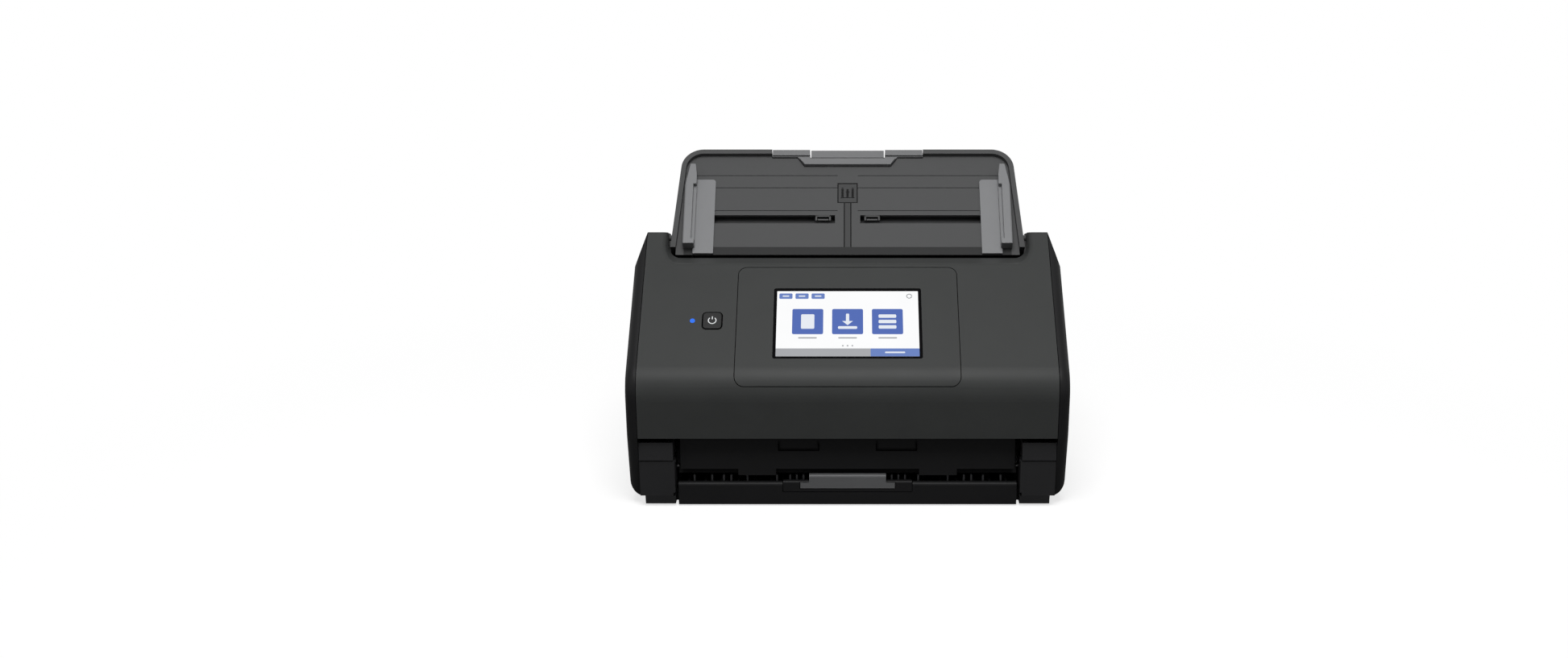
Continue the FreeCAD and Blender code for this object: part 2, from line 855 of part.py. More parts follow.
def make_ports():
    inlet, usb = port_blocks(0)
    floor_y = rear_y - port_hole_depth
    x, z = side_inner - inlet_inset, port_z + inlet_size / 2
    inlet = inlet.cut(Part.makeCylinder(inlet_bore, port_hole_depth, Vector(x, floor_y, z), Vector(0, 1, 0)))
    pin = Part.makeCylinder(inlet_pin, port_hole_depth - 2, Vector(x, floor_y - 0.5, z), Vector(0, 1, 0))
    x, z = side_inner - usb_inset, port_z + usb_height / 2
    hole_x, hole_z = usb_width / 2 - port_wall, usb_height / 2 - port_wall
    usb = usb.cut(box(x - hole_x, x + hole_x, floor_y, rear_y, z - hole_z, z + hole_z))
    tongue_x, tongue_z = hole_x * 0.6, hole_z * 0.38
    slab = box(x - tongue_x, x + tongue_x, floor_y - 0.5, rear_y - 2.5, z - tongue_z, z + tongue_z)
    return {"power_inlet": inlet.fuse(pin), "usb_socket": usb.fuse(slab)}


def make_pan():
    """Bottom pan with side runners for the output tray."""
    floor_z = pan_floor_z + pan_thickness
    back_y = rear_y - rear_wall - seat_gap
    pan = box(-pan_half_width, pan_half_width, pan_front_y, back_y, pan_floor_z, floor_z)
    runner_x = mouth_half_width + running_gap
    for side in (-1, 1):
        low, high = sorted((side * runner_x, side * pan_half_width))
        pan = pan.fuse(box(low, high, runner_front_y, back_y, floor_z, chassis_z))
        low, high = sorted((side * (runner_x + tongue + running_gap), side * (runner_x - 1)))
        pan = pan.cut(box(low, high, 0, back_y + 1, out_plate_z - running_gap, out_floor + running_gap))
    return pan.removeSplitter()


def make_post(side):
    """Front post beside the paper mouth, and the hinge cap above it."""
    outer = side_inner - seat_gap
    back = post_front_y + post_depth
    outline = [
        (post_foot_y, pan_floor_z),
        (post_shin_y, post_shin_z),
        (post_front_y, post_top_z),
        (back, post_top_z),
        (back, pan_floor_z),
    ]
    post = prism_x(outline, post_inner_x, outer)
    foot = box(pan_half_width, half, 0, back + 1, 0, side_bottom_z + shelf_height + seat_gap)
    over_pan = pan_floor_z + pan_thickness + seat_gap
    post = post.cut(foot).cut(box(post_inner_x - 1, half, pan_front_y - seat_gap, back + 1, 0, over_pan))
    arm_low, arm_high = cover_arm_x - 1, cover_arm_x + cover_arm_width + 1
    hub = cover_pin_radius + cover_hub_wall + running_gap
    pocket = rod_x(cover_hinge_y, cover_hinge_z, hub, arm_low, arm_high)
    slot = box(arm_low, arm_high, cover_hinge_y - 0.5, back + 1, cover_hinge_z - hub, cap_top_z)
    groove_x = mouth_half_width + tongue + running_gap
    groove = box(0, groove_x, 0, back + 1, out_plate_z - running_gap, out_floor + running_gap)
    post = post.cut(groove)
    bore = rod_x(cover_hinge_y, cover_hinge_z, cover_pin_radius + fit_gap, 0, half)
    post = post.cut(pocket).cut(slot).cut(bore)
    cap_low, cap_x = post_top_z + cap_gap, post_inner_x + cap_step
    cap_front, cap_back, cheek_x = post_front_y - cap_step, back - cap_inset, cover_arm_x - arm_gap
    cap = box(cap_x, outer, cap_front, cap_front + cap_wall, cap_low, cap_top_z)
    cap = cap.fuse(box(cap_x, cheek_x, post_front_y, cap_back, cap_low, cap_top_z))
    leg = box(cap_x, cheek_x, cover_hinge_y + hub, cap_back, post_top_z, cap_low)
    cap = cap.fuse(leg).cut(pocket).cut(bore).removeSplitter()
    if side < 0:
        return mirrored(post), mirrored(cap)
    return post, cap


def make_hinge_arms():
    """Arms of the cover that reach down to the hinge pins in the posts."""
    arms = []
    x0, x1 = cover_arm_x, cover_arm_x + cover_arm_width
    hub = cover_pin_radius + cover_hub_wall
    turn = math.radians(arm_angle)
    reach = cap_top_z - cover_hinge_z
    top_z = cover_bottom_z + arm_rise
    seat = -path_half_gap - guide_thickness - seat_gap
    front = (cover_hinge_y + reach * math.cos(turn), cover_hinge_z + hub + reach * math.sin(turn))
    outline = [
        (cover_hinge_y, cover_hinge_z - hub / 2),
        (cover_hinge_y, cover_hinge_z + hub),
        front,
        (path_y(top_z, seat - arm_depth), top_z),
        (path_y(top_z, seat), top_z),
        (path_y(cover_bottom_z, seat), cover_bottom_z),
        (path_y(cap_top_z - 4, seat - 2), cap_top_z - 4),
    ]
    for side in (-1, 1):
        arm = prism_x(outline, x0, x1).fuse(rod_x(cover_hinge_y, cover_hinge_z, hub, x0, x1))
        arm = arm.fuse(rod_x(cover_hinge_y, cover_hinge_z, cover_pin_radius, x0 - 4, x1 + 4)).removeSplitter()
        arms.append(arm if side > 0 else mirrored(arm))
    return arms


def make_frame(side):
    """Sheet metal side frame that carries the roller shafts."""
    seat = path_half_gap + guide_thickness + fit_gap
    outline = [
        (path_y(chassis_z + 4, seat), chassis_z + chassis_thickness),
        (path_y(deck_z - frame_drop, seat), deck_z - frame_drop),
        (path_y(deck_z - frame_drop, frame_depth), deck_z - frame_drop),
        (frame_back_y, frame_step_z),
        (frame_back_y, chassis_z + chassis_thickness),
    ]
    x0, x1 = sorted((side * frame_x, side * (frame_x + frame_thickness)))
    plate = prism_x(outline, x0, x1)
    for nip in (feed_nip_z, drive_nip_z, eject_nip_z):
        y, z = on_path(nip, roller_radius)
        plate = plate.cut(rod_x(y, z, shaft_radius + fit_gap, x0 - 1, x1 + 1))
    return plate


def make_chassis():
    """Metal plate over the output tray."""
    reach = side_inner - seat_gap
    front = path_y(chassis_z + 3, path_half_gap + guide_thickness) + 1
    return box(-reach, reach, front, rear_y - rear_wall - seat_gap, chassis_z, chassis_z + chassis_thickness)


def make_inside():
    """Board, motor and gear case on the chassis."""
    z = chassis_z + chassis_thickness
    x1 = frame_x - main_board_inset
    x0, back = x1 - main_board_length, main_board_y + main_board_thickness
    board = box(x0, x1, main_board_y, back, z, z + main_board_height)
    standing = []
    pitch = (main_board_length - 2 * main_board_inset - connector_width) / (connector_count - 1)
    for number in range(connector_count):
        x = x0 + main_board_inset + number * pitch
        standing.append(box(x, x + connector_width, back, back + connector_depth, z, z + connector_height))
    motor_end = Vector(-frame_x + seat_gap, motor_y, motor_z)
    motor = Part.makeCylinder(motor_radius, motor_length, motor_end, Vector(1, 0, 0))
    case_x, case_half = -frame_x - frame_thickness - seat_gap, case_size / 2
    case_y0, case_y1 = motor_y - case_half, motor_y + case_half
    case = box(case_x - case_thickness, case_x, case_y0, case_y1, motor_z - case_half, motor_z + case_half)
    return {
        "main_board": board.fuse(standing),
        "drive_motor": motor,
        "gear_case": case,
    }


def make_feet():
    x = pan_half_width - foot_inset
    places = [Vector(side * x, y, 0) for side in (-1, 1) for y in foot_ys]
    return Part.makeCompound([Part.makeCylinder(foot_size / 2, pan_floor_z, place) for place in places])


def make_screws():
    """Fastening screws under the pan, seated in its floor."""
    screws = []
    x = pan_half_width - screw_inset
    for side in (-1, 1):
        for y in screw_ys:
            place = Vector(side * x, y, pan_floor_z - screw_head)
            screws.append(Part.makeCylinder(screw_radius, screw_head, place))
    return Part.makeCompound(screws)


def make_lever():
    """Cover release lever in the deck, turning on its own pin."""
    x0, x1 = lever_x, lever_x + lever_width
    pin_z = deck_z - lever_pin_drop
    top, under = deck_z + lever_rise, deck_z - lever_sink
    outline = [
        (lever_pin_y - lever_length + 1, under),
        (lever_pin_y - lever_length + 1, top),
        (lever_pin_y - 3, top),
        (lever_pin_y + 3, deck_z),
        (lever_pin_y + 3, under),
    ]
    lever = prism_x(outline, x0, x1).fuse(rod_x(lever_pin_y, pin_z, lever_pin_radius, x0 - 4, x1 + 4))
    return rounded(lever, 1.5, lambda p, e: along_x(e) and abs(p.z - top) < 1e-6)


# Input tray


def tray_half(t):
    """Half width of the tapering tray at a place up the slope."""
    share = (t - tray_low_t) / (tray_top_t - tray_low_t)
    return tray_low_half + share * (tray_top_half - tray_low_half)


def tray_block(inset, top_inset, low_n, high_n, corner):
    """Tapered slab with rounded top corners, moved in from the tray's outline."""
    low, high = tray_low_t - inset, tray_top_t - top_inset
    outline = [
        (-tray_half(low) + inset, low),
        (tray_half(low) - inset, low),
        (tray_half(high) - inset, high),
        (-tray_half(high) + inset, high),
    ]
    slab = prism_z(outline, low_n, high_n)
    upright = lambda p, e: abs(e.Vertexes[0].Z - e.Vertexes[-1].Z) > 0.1 and p.y > (low + high) / 2
    return rounded(slab, corner, upright)


def handle_blocks(grow, low_n, high_n):
    """Stepped outline of the extension's handle at the tray's top edge."""
    reach = handle_half + grow
    wide = box(-reach, reach, handle_step_t - grow, tray_top_t + 3 * grow, low_n, high_n)
    outline = [
        (-handle_low_half - grow, handle_step_t + 1),
        (-handle_low_half + 6 - grow, handle_low_t - grow),
        (handle_low_half - 6 + grow, handle_low_t - grow),
        (handle_low_half + grow, handle_step_t + 1),
    ]
    return wide.fuse(prism_z(outline, low_n, high_n)).removeSplitter()


def make_tray_plate():
    plate = tray_block(0, 0, -tray_plate_thickness, tray_rim, tray_corner)
    plate = plate.cut(tray_block(tray_rim_wall, tray_rim_wall, 0, tray_rim + 1, tray_corner - tray_rim_wall))
    toe_half = tray_low_half - tray_rim_wall
    plate = plate.fuse(box(-toe_half, toe_half, tray_toe_t, tray_low_t + 1, -tray_plate_thickness, 0))
    below = -tray_plate_thickness - 1
    corner = [
        (tray_toe_t - 1, below),
        (tray_toe_t, -tray_toe_gap),
        (tray_low_t, -tray_plate_thickness),
        (tray_low_t, below),
    ]
    plate = plate.cut(prism_x(corner, -half, half))
    plate = plate.cut(handle_blocks(running_gap, -tray_depth, tray_rim + 1))
    cuts = []
    for side in (-1, 1):
        low, high = sorted((side * slot_inner_x, side * slot_outer_x))
        cuts.append(box(low, high, slot_low_t, slot_high_t, -tray_plate_thickness - 1, 1))
    reach = tray_top_half - tray_rim_wall - 1
    for t in line_ts:
        for side in (-1, 1):
            low, high = sorted((side * clasp_width / 2, side * reach))
            cuts.append(box(low, high, t, t + line_width, -line_depth, 1))
    cuts.append(centre_strip(fit_gap, -strip_recess, 1))
    for cutter in cuts:
        plate = plate.cut(cutter)
    return on_tray(plate.fuse(make_tray_pins()))


def centre_strip(grow, low_n, high_n):
    """Outline of the centre strip: a narrow channel up to a clasp."""
    half_clasp, half_channel = clasp_width / 2 + grow, channel_width / 2 + grow
    clasp = box(-half_clasp, half_clasp, clasp_low_t - grow, clasp_high_t + grow, low_n, high_n)
    channel = box(-half_channel, half_channel, tray_toe_t + strip_end - grow, clasp_low_t, low_n, high_n)
    return clasp.fuse(channel).removeSplitter()


def make_centre_strip():
    """Dark strip let into the tray plate, with small latch slots in its clasp."""
    strip = centre_strip(0, -strip_recess, -strip_recess + strip_thickness)
    middle = (clasp_low_t + clasp_high_t) / 2
    bar = 1.3
    reach = clasp_width / 4
    for x in (-reach, reach):
        strip = strip.cut(box(x - bar / 2, x + bar / 2, middle, middle + 4.5, -tray_depth, 1))
    strip = strip.cut(box(-bar, bar, middle, middle + bar, -tray_depth, 1))
    strip = strip.cut(box(-reach - bar, reach + bar, middle - 5, middle - 5 + bar, -tray_depth, 1))
    return on_tray(strip)


def make_tray_back():
    back = tray_block(0, 0, -tray_depth, -tray_plate_thickness, tray_corner)
    hollow_top = -tray_plate_thickness + 1
    wall = tray_lid_wall
    hollow = tray_block(wall, wall, -tray_depth + tray_back_wall, hollow_top, tray_corner - wall)
    keep = box(-half, half, tray_low_t - wall, tray_low_t + wall, -tray_depth, hollow_top)
    back = back.cut(hollow.cut(keep))
    floor_n = -tray_depth + tray_back_wall
    reach = handle_half + running_gap
    exit_box = box(-reach, reach, handle_low_t, tray_top_t + 2, floor_n, 0)
    back = rounded_back(back).cut(exit_box).fuse(pinion_post())
    for pin in make_tray_pins():
        back = back.cut(pin)
    return on_tray(back)


def rounded_back(back):
    """Softens the outer rim of the lid."""
    return rounded(back, 1.4, lambda p, e: abs(p.z + tray_depth) < 1e-6 and p.y > tray_low_t + 1)


def pinion_post():
    floor_n = -tray_depth + tray_back_wall
    height = pinion_low() + rack_thickness - floor_n
    return Part.makeCylinder(pinion_bore - fit_gap, height, Vector(0, pinion_t(), floor_n))


def make_tray_pins():
    """Hinge pins on the tray plate's sides."""
    pins = []
    for side in (-1, 1):
        x0, x1 = sorted((side * (tray_half(tray_hinge_t) - 1.0), side * (horn_inner_x + tray_pin_reach)))
        pins.append(rod_x(tray_hinge_t, tray_hinge_n, tray_pin_radius, x0, x1))
    return pins


def pinion_t():
    return (slot_low_t + slot_high_t) / 2


def pinion_low():
    """Lower face of the racks and pinion, under the tray plate."""
    return -tray_plate_thickness - seat_gap - rack_thickness


def make_pinion():
    pitch_radius = gear_module * pinion_teeth / 2
    tip, root = pitch_radius + 0.9 * gear_module, pitch_radius - 1.2 * gear_module
    step = 2 * math.pi / pinion_teeth
    points = []
    for tooth in range(pinion_teeth):
        middle = tooth * step
        root_half, tip_half = step * tooth_share * 0.72, step * tooth_share * 0.26
        for radius, turn in ((root, -root_half), (tip, -tip_half), (tip, tip_half), (root, root_half)):
            points.append((radius * math.sin(middle + turn), radius * math.cos(middle + turn)))
    gear = prism_z(points, 0, rack_thickness)
    gear = gear.cut(Part.makeCylinder(pinion_bore, rack_thickness))
    gear.translate(Vector(0, pinion_t(), pinion_low()))
    return on_tray(gear)


def make_rack():
    """Rack of the left guide, above the pinion, toothed on its lower edge."""
    pitch = math.pi * gear_module
    pitch_t = pinion_t() + gear_module * pinion_teeth / 2
    root_t, tip_t = pitch_t + 1.2 * gear_module, pitch_t - 0.9 * gear_module
    wall_x = -sheet_width / 2 - guide_wall_width
    x1 = rack_reach
    bar = box(wall_x + 1, x1, root_t, root_t + rack_height, 0, rack_thickness)
    teeth = []
    count = int((x1 - wall_x) / pitch) - 1
    for number in range(count):
        middle = (0.5 - number) * pitch
        if middle - pitch < wall_x or middle + pitch / 2 > x1:
            continue
        root_half, tip_half = pitch * tooth_share * 0.72, pitch * tooth_share * 0.26
        outline = [
            (middle - root_half, root_t + 0.1),
            (middle - tip_half, tip_t),
            (middle + tip_half, tip_t),
            (middle + root_half, root_t + 0.1),
        ]
        teeth.append(prism_z(outline, 0, rack_thickness))
    rack = bar.fuse(teeth)
    arm = box(wall_x + 1, wall_x + 1 + rack_arm, pinion_t() - foot_length / 2, root_t + 1, 0, rack_thickness)
    rack = rack.fuse(arm)
    rack.translate(Vector(0, 0, pinion_low()))
    return rack


def make_left_guide():
    """Flange under the sheets, wall beside them and the rack that the foot carries."""
    wall_inner = -sheet_width / 2
    wall_outer = wall_inner - guide_wall_width
    base_n = seat_gap
    far_x, top_n = wall_inner + flange_width, base_n + flange_thickness
    flange = box(wall_inner - 1, far_x, flange_low_t, flange_high_t, base_n, top_n)
    flange = rounded(flange, flange_corner, lambda p, e: p.x > far_x - 1e-3 and p.y > flange_high_t - 1e-3)
    wall = box(wall_outer, wall_inner, guide_low_t, guide_high_t, base_n, guide_height)
    top = guide_high_t + 1
    beside = wall_outer - 1
    shave = [(beside, top), (wall_outer + outer_shave, top), (beside, top - outer_shave_length)]
    wall = wall.cut(prism_z(shave, 0, guide_height + 1))
    beside = wall_inner + 1
    shave = [(beside, top), (wall_inner - inner_shave, top), (beside, top - inner_shave_length)]
    wall = wall.cut(prism_z(shave, 0, guide_height + 1))
    groove_low, groove_high = guide_low_t + groove_inset, guide_high_t - inner_shave_length
    floor_n = guide_height - groove_depth
    groove = box(wall_inner - groove_width, beside, groove_low, groove_high, floor_n, guide_height + 1)
    wall = wall.cut(groove)
    wall = rounded(wall, 1.0, lambda p, e: abs(p.z - guide_height) < 1e-6 and abs(p.x - wall_outer) < 0.01)
    foot_low, foot_high = pinion_t() - foot_length / 2, pinion_t() + foot_length / 2
    foot = box(wall_outer + 1, wall_outer + 1 + foot_width, foot_low, foot_high, pinion_low(), base_n + 1)
    return flange.fuse([wall, foot, make_rack()]).removeSplitter()


def turned_about_pinion(shape):
    """Half turn about the pinion's axis, which swaps the two racks."""
    spun = shape.copy()
    spun.rotate(Vector(0, pinion_t(), 0), Vector(0, 0, 1), 180)
    return spun


def make_right_guide():
    """Mirror of the left guide above the plate, with its rack below the pinion."""
    left = make_left_guide()
    above = box(-half, half, 2 * tray_toe_t, 2 * tray_top_t, 0, 2 * guide_height)
    visible = mirrored(left.common(above))
    wall_outer = sheet_width / 2 + guide_wall_width
    foot_low, foot_high = pinion_t() - foot_length / 2, pinion_t() + foot_length / 2
    foot = box(wall_outer - 1 - foot_width, wall_outer - 1, foot_low, foot_high, pinion_low(), seat_gap + 1)
    return visible.fuse([foot, turned_about_pinion(make_rack())]).removeSplitter()


def make_extensions():
    """Outer and inner sliding extensions with the handle between the tray's rims."""
    low_n = -tray_depth + tray_back_wall + seat_gap
    high_n = low_n + extension_thickness
    plate = box(-handle_half, handle_half, extension_low_t, tray_top_t, low_n, high_n)
    outer = plate.fuse(handle_blocks(0, low_n, tray_rim - handle_recess))
    notch_low = handle_step_t - handle_notch
    notch_high, notch_n = handle_step_t + handle_recess, tray_rim - handle_notch
    groove = box(-handle_half, handle_half, notch_low, notch_high, notch_n, tray_rim)
    outer = outer.cut(groove)
    opening = inner_half + slit
    slot_low = inner_extension_low_t - 1.0
    outer = outer.cut(box(-opening, opening, notch_low, tray_top_t + 1, low_n - 1, tray_rim + 1))
    outer = outer.cut(box(-opening, opening, slot_low, handle_step_t, low_n - 1, high_n + seat_gap))
    top_t = tray_top_t - inner_recess
    inner = box(-inner_half, inner_half, inner_extension_low_t, top_t, low_n, high_n)
    front = box(-inner_half, inner_half, notch_low + slit, top_t, low_n, tray_rim - 2 * handle_recess)
    return on_tray(outer.removeSplitter()), on_tray(inner.fuse(front).removeSplitter())


# Output tray


def rounded_front(shape, radius, top_z):
    """Rounds the top front edge of a tray's lip."""
    front = out_front_y + 1e-3
    return rounded(shape, radius, lambda p, e: along_x(e) and abs(p.z - top_z) < 1e-6 and p.y < front)


def make_output_tray():
    reach, tongue_x = mouth_half_width - running_gap, mouth_half_width + tongue
    plate = box(-tongue_x, tongue_x, tongue_front_y, out_back_y, out_plate_z, out_floor)
    plate = plate.fuse(box(-reach, reach, out_front_y, tongue_front_y + 1, out_plate_z, out_floor))
    lip = box(-reach, reach, out_front_y, out_front_y + out_lip, out_low_z, out_lip_z)
    lip = rounded_front(lip, out_lip_round, out_lip_z)
    notch = second_half + stage_gap
    tray = plate.fuse(lip)
    tray = tray.cut(box(-notch, notch, out_front_y - 1, out_front_y + out_lip + 1, out_floor, third_lip_z))
    ribs = []
    far = mouth_half_width - rib_edge
    rib_top = out_floor + 2 * rib_height
    for number in range(1 + int((far - notch - rib_width) / rib_pitch)):
        for side in (-1, 1):
            low = side * (far - number * rib_pitch) - rib_width / 2
            ribs.append(box(low, low + rib_width, out_front_y + out_lip, rib_end_y, out_floor, rib_top))
    return tray.fuse(ribs).removeSplitter()


def make_output_second():
    z0 = out_floor + stage_gap
    z1 = z0 + stage_plate
    plate = box(-second_half, second_half, out_front_y + stage_recess, out_back_y - stage_shortening, z0, z1)
    lip = box(-second_half, second_half, out_front_y, out_front_y + out_lip, z0, second_lip_z)
    lip = rounded_front(lip, second_lip_round, second_lip_z)
    notch = third_half + stage_gap
    cut_front, cut_back = out_front_y - 1, out_front_y + out_lip + 1
    second = plate.fuse(lip).cut(box(-notch, notch, cut_front, cut_back, z1, third_lip_z))
    low_notch = third_low_half + stage_gap
    notch_top = z1 + 2 * stage_gap + third_low_height
    second = second.cut(box(-low_notch, low_notch, cut_front, cut_back, z1, notch_top))
    ribs = []
    for number in range(int((second_half - third_half) / stage_rib_pitch)):
        x = second_half - rib_width - number * stage_rib_pitch
        for side in (-1, 1):
            low = side * x - rib_width / 2
            ribs.append(box(low, low + rib_width, cut_back, rib_end_y, z1, z1 + rib_height))
    return second.fuse(ribs).removeSplitter()


def make_output_third():
    z0 = out_floor + 2 * stage_gap + stage_plate
    z1 = z0 + stage_plate
    back_y = out_back_y - 2 * stage_shortening
    plate = box(-third_half, third_half, out_front_y + stage_recess, back_y, z0, z1)
    lip = box(-third_half, third_half, out_front_y, out_front_y + out_lip, z0, third_lip_z)
    lip = rounded_front(lip, third_lip_round, third_lip_z)
    low = box(-third_low_half, third_low_half, out_front_y, out_front_y + out_lip, z0, z0 + third_low_height)
    return plate.fuse([lip, low]).removeSplitter()


# Assembly


def make_nodes():
    nodes = make_cover_pieces()
    nodes["power_button"] = make_power_button()
    nodes["upper_paper_guide"] = make_upper_guide()
    nodes["mouth_apron"] = make_apron()
    nodes["lower_paper_guide"] = make_lower_guide()
    nodes.update(make_scan_pieces())
    nodes.update(make_base_rollers())
    nodes.update(make_cover_rollers())
    nodes["roller_ears"] = make_roller_ears()
    nodes["drive_belt"] = make_belt()
    nodes["left_side_cover"] = make_side_cover()
    nodes["right_side_cover"] = mirrored(make_side_cover())
    nodes["rear_cover"] = make_rear_cover()
    nodes.update(make_ports())
    nodes["bottom_pan"] = make_pan()
    nodes["right_front_post"], nodes["right_hinge_cap"] = make_post(1)
    nodes["left_front_post"], nodes["left_hinge_cap"] = make_post(-1)
    nodes["left_hinge_arm"], nodes["right_hinge_arm"] = make_hinge_arms()
    nodes["left_frame"] = make_frame(-1)
    nodes["right_frame"] = make_frame(1)
    nodes["chassis_plate"] = make_chassis()
    nodes.update(make_inside())
    nodes["rubber_feet"] = make_feet()
    nodes["pan_screws"] = make_screws()
    nodes["cover_release_lever"] = make_lever()
    nodes["input_tray_plate"] = make_tray_plate()
    nodes["input_tray_lid"] = make_tray_back()
    nodes["tray_centre_strip"] = make_centre_strip()
    nodes["left_edge_guide"] = on_tray(make_left_guide())
    nodes["right_edge_guide"] = on_tray(make_right_guide())
    nodes["guide_pinion"] = make_pinion()
    nodes["tray_extension"], nodes["tray_inner_extension"] = make_extensions()
    nodes["output_tray"] = make_output_tray()
    nodes["output_second_stage"] = make_output_second()
    nodes["output_third_stage"] = make_output_third()
    return nodes


def main():
    nodes = make_nodes()
    whole = FreeCAD.BoundBox()
    for shape in nodes.values():
        whole.add(shape.BoundBox)
    shift = Vector(0, -(whole.YMin + whole.YMax) / 2, -whole.ZMin)
    os.makedirs("parts", exist_ok=True)
    for name, shape in nodes.items():
        moved = shape.copy()
        moved.translate(shift)
        moved.exportStep(os.path.join("parts", name + ".step"))
    print("nodes", len(nodes), "shift", round(shift.y, 4), round(shift.z, 4))
    return nodes, shift


if __name__ == "__main__":
    main()
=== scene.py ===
"""Looks of a sheet-fed desktop document scanner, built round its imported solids, in metres."""
import math

import bmesh
import bpy
from bpy.props import FloatProperty, FloatVectorProperty, IntProperty, PointerProperty
from mathutils import Matrix, Vector


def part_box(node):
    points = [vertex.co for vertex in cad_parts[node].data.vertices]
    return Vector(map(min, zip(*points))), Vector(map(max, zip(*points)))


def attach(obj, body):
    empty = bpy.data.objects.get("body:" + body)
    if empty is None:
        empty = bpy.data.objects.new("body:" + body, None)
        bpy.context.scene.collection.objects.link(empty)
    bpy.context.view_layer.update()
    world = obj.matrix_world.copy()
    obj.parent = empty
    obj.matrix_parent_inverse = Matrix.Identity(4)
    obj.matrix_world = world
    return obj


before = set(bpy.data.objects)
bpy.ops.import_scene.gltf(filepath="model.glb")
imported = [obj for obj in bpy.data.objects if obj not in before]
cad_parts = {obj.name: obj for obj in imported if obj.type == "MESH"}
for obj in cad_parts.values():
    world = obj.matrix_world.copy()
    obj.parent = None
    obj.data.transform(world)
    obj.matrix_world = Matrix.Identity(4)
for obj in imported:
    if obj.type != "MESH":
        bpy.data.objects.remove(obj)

bl_info = {
    "name": "Document Scanner Looks",
    "version": (1, 0, 0),
    "blender": (4, 5, 0),
    "location": "View3D > Sidebar > Scanner",
    "description": "Materials, screen and small fittings of a desktop document scanner",
    "category": "Object",
}

MM = 0.001

# Angles of the control panel and of the open input tray
SLOPE = math.radians(39.7)
TRAY = math.radians(46.5)

# Corners of thin lines, bands and ribs, and the places of ribs from the middle
LINE_CORNER = 0.1 * MM
BAND_CORNER = 0.2 * MM
RIB_EDGE = 0.15 * MM
TRAY_RIBS = tuple(x * MM for x in (48.0, 68.0, 79.0, 84.0, 92.0, 104.0))
STAGE_RIBS = tuple(x * MM for x in (30.0, 34.5, 39.0))

# Screen: shares of its width or of a tile's, and the grid that a tile's picture is drawn on
BAR_SHARE = 0.34
BAR_MARK_SHARE = 0.14
CAPTION_SHARE = 0.6
PICTURE_GRID = 21

# Ends of the power symbol's ring in degrees, open at the top
SYMBOL_START, SYMBOL_END = 130, 410

# Plastic: scale of its slow drift, depth of its grain, and what both do to colour and gloss
DRIFT_SCALE = 38.0
GRAIN_DEPTH = 0.12 * MM
DRIFT_SHARE, GRAIN_SHARE = 0.6, 0.4
DRIFT_GLOSS, GRAIN_GLOSS = 0.12, 0.08

# Camera: the photo's measures in pixels, and its place by the front cover in metres
PHOTO_WIDTH = 1946
PHOTO_FOCAL = 2150
PHOTO_CENTRE_X = 1051.9
SENSOR_WIDTH = 36.0
CAMERA_BACK = 1.09575
CAMERA_HEIGHT = 0.4207
CAMERA_TILT = math.radians(75)

# Soft lights: name, place, target, size in metres and power in watts
LIGHTS = (
    ("top_soft", (0.0, -0.72, 1.3), (0, -0.05, 0.08), 0.7, 14.8),
    ("left_soft", (-1.2, -1.0, 1.0), (0, 0, 0.1), 0.8, 2.0),
    ("right_soft", (1.2, -1.0, 1.0), (0, 0, 0.1), 0.8, 2.0),
    ("rear_soft", (0.0, 1.4, 0.7), (0, 0, 0.1), 0.8, 6.0),
)
SKY_LIGHT = 0.14

# Floor: pale with a shadow near the part, plain white to the camera further off
WHITE = (1, 1, 1, 1)
FLOOR_SIZE = 6.0
FLOOR_DROP = 0.4 * MM
FLOOR_GREY = (0.38, 0.38, 0.38, 1)
FLOOR_GLOW = 0.72
FADE_START = 0.15
FADE_END = 0.6


def colour(name, text, default):
    return FloatVectorProperty(
        name=name, description=text, subtype="COLOR", size=3, min=0, max=1, default=default
    )


def length(name, text, default):
    return FloatProperty(name=name, description=text, unit="LENGTH", subtype="DISTANCE", default=default)


class ScannerColours(bpy.types.PropertyGroup):
    """Colours of the scanner's finishes, as linear values."""

    face: colour("Face", "Sloped front cover", (0.0345, 0.0362, 0.0355))
    casing: colour("Casing", "Side covers and base", (0.0095, 0.0095, 0.010))
    apron: colour("Apron", "Dark wall in the mouth", (0.010, 0.010, 0.0104))
    output: colour("Output", "Output tray stages", (0.0075, 0.0075, 0.008))
    tray: colour("Tray", "Input tray", (0.066, 0.067, 0.068))
    guide: colour("Guide", "Edge guides", (0.185, 0.188, 0.194))
    handle: colour("Handle", "Grey handles", (0.15, 0.152, 0.156))
    key: colour("Key", "Power button", (0.017, 0.0175, 0.0175))
    symbol: colour("Symbol", "Lit mark on the power button", (0.82, 0.84, 0.85))
    lamp: colour("Lamp", "Status lamp", (0.03, 0.17, 0.85))
    touch: colour("Touch", "Dark edge of the touch screen", (0.002, 0.002, 0.0024))
    screen: colour("Screen", "Lit ground of the screen", (0.98, 0.985, 0.99))
    tile: colour("Tile", "Large tiles on the screen", (0.085, 0.155, 0.50))
    bar: colour("Bar", "Bars and small buttons on the screen", (0.15, 0.24, 0.58))
    picture: colour("Picture", "Pictures on tiles and buttons", (0.86, 0.90, 0.97))
    quiet: colour("Quiet", "Grey bar and marks on the screen", (0.42, 0.43, 0.45))
    glass: colour("Glass", "Scan glasses", (0.06, 0.07, 0.07))
    steel: colour("Steel", "Frames and shafts", (0.52, 0.52, 0.53))
    rubber: colour("Rubber", "Feet, tyres and belt", (0.022, 0.022, 0.023))
    board: colour("Board", "Circuit boards", (0.015, 0.11, 0.05))


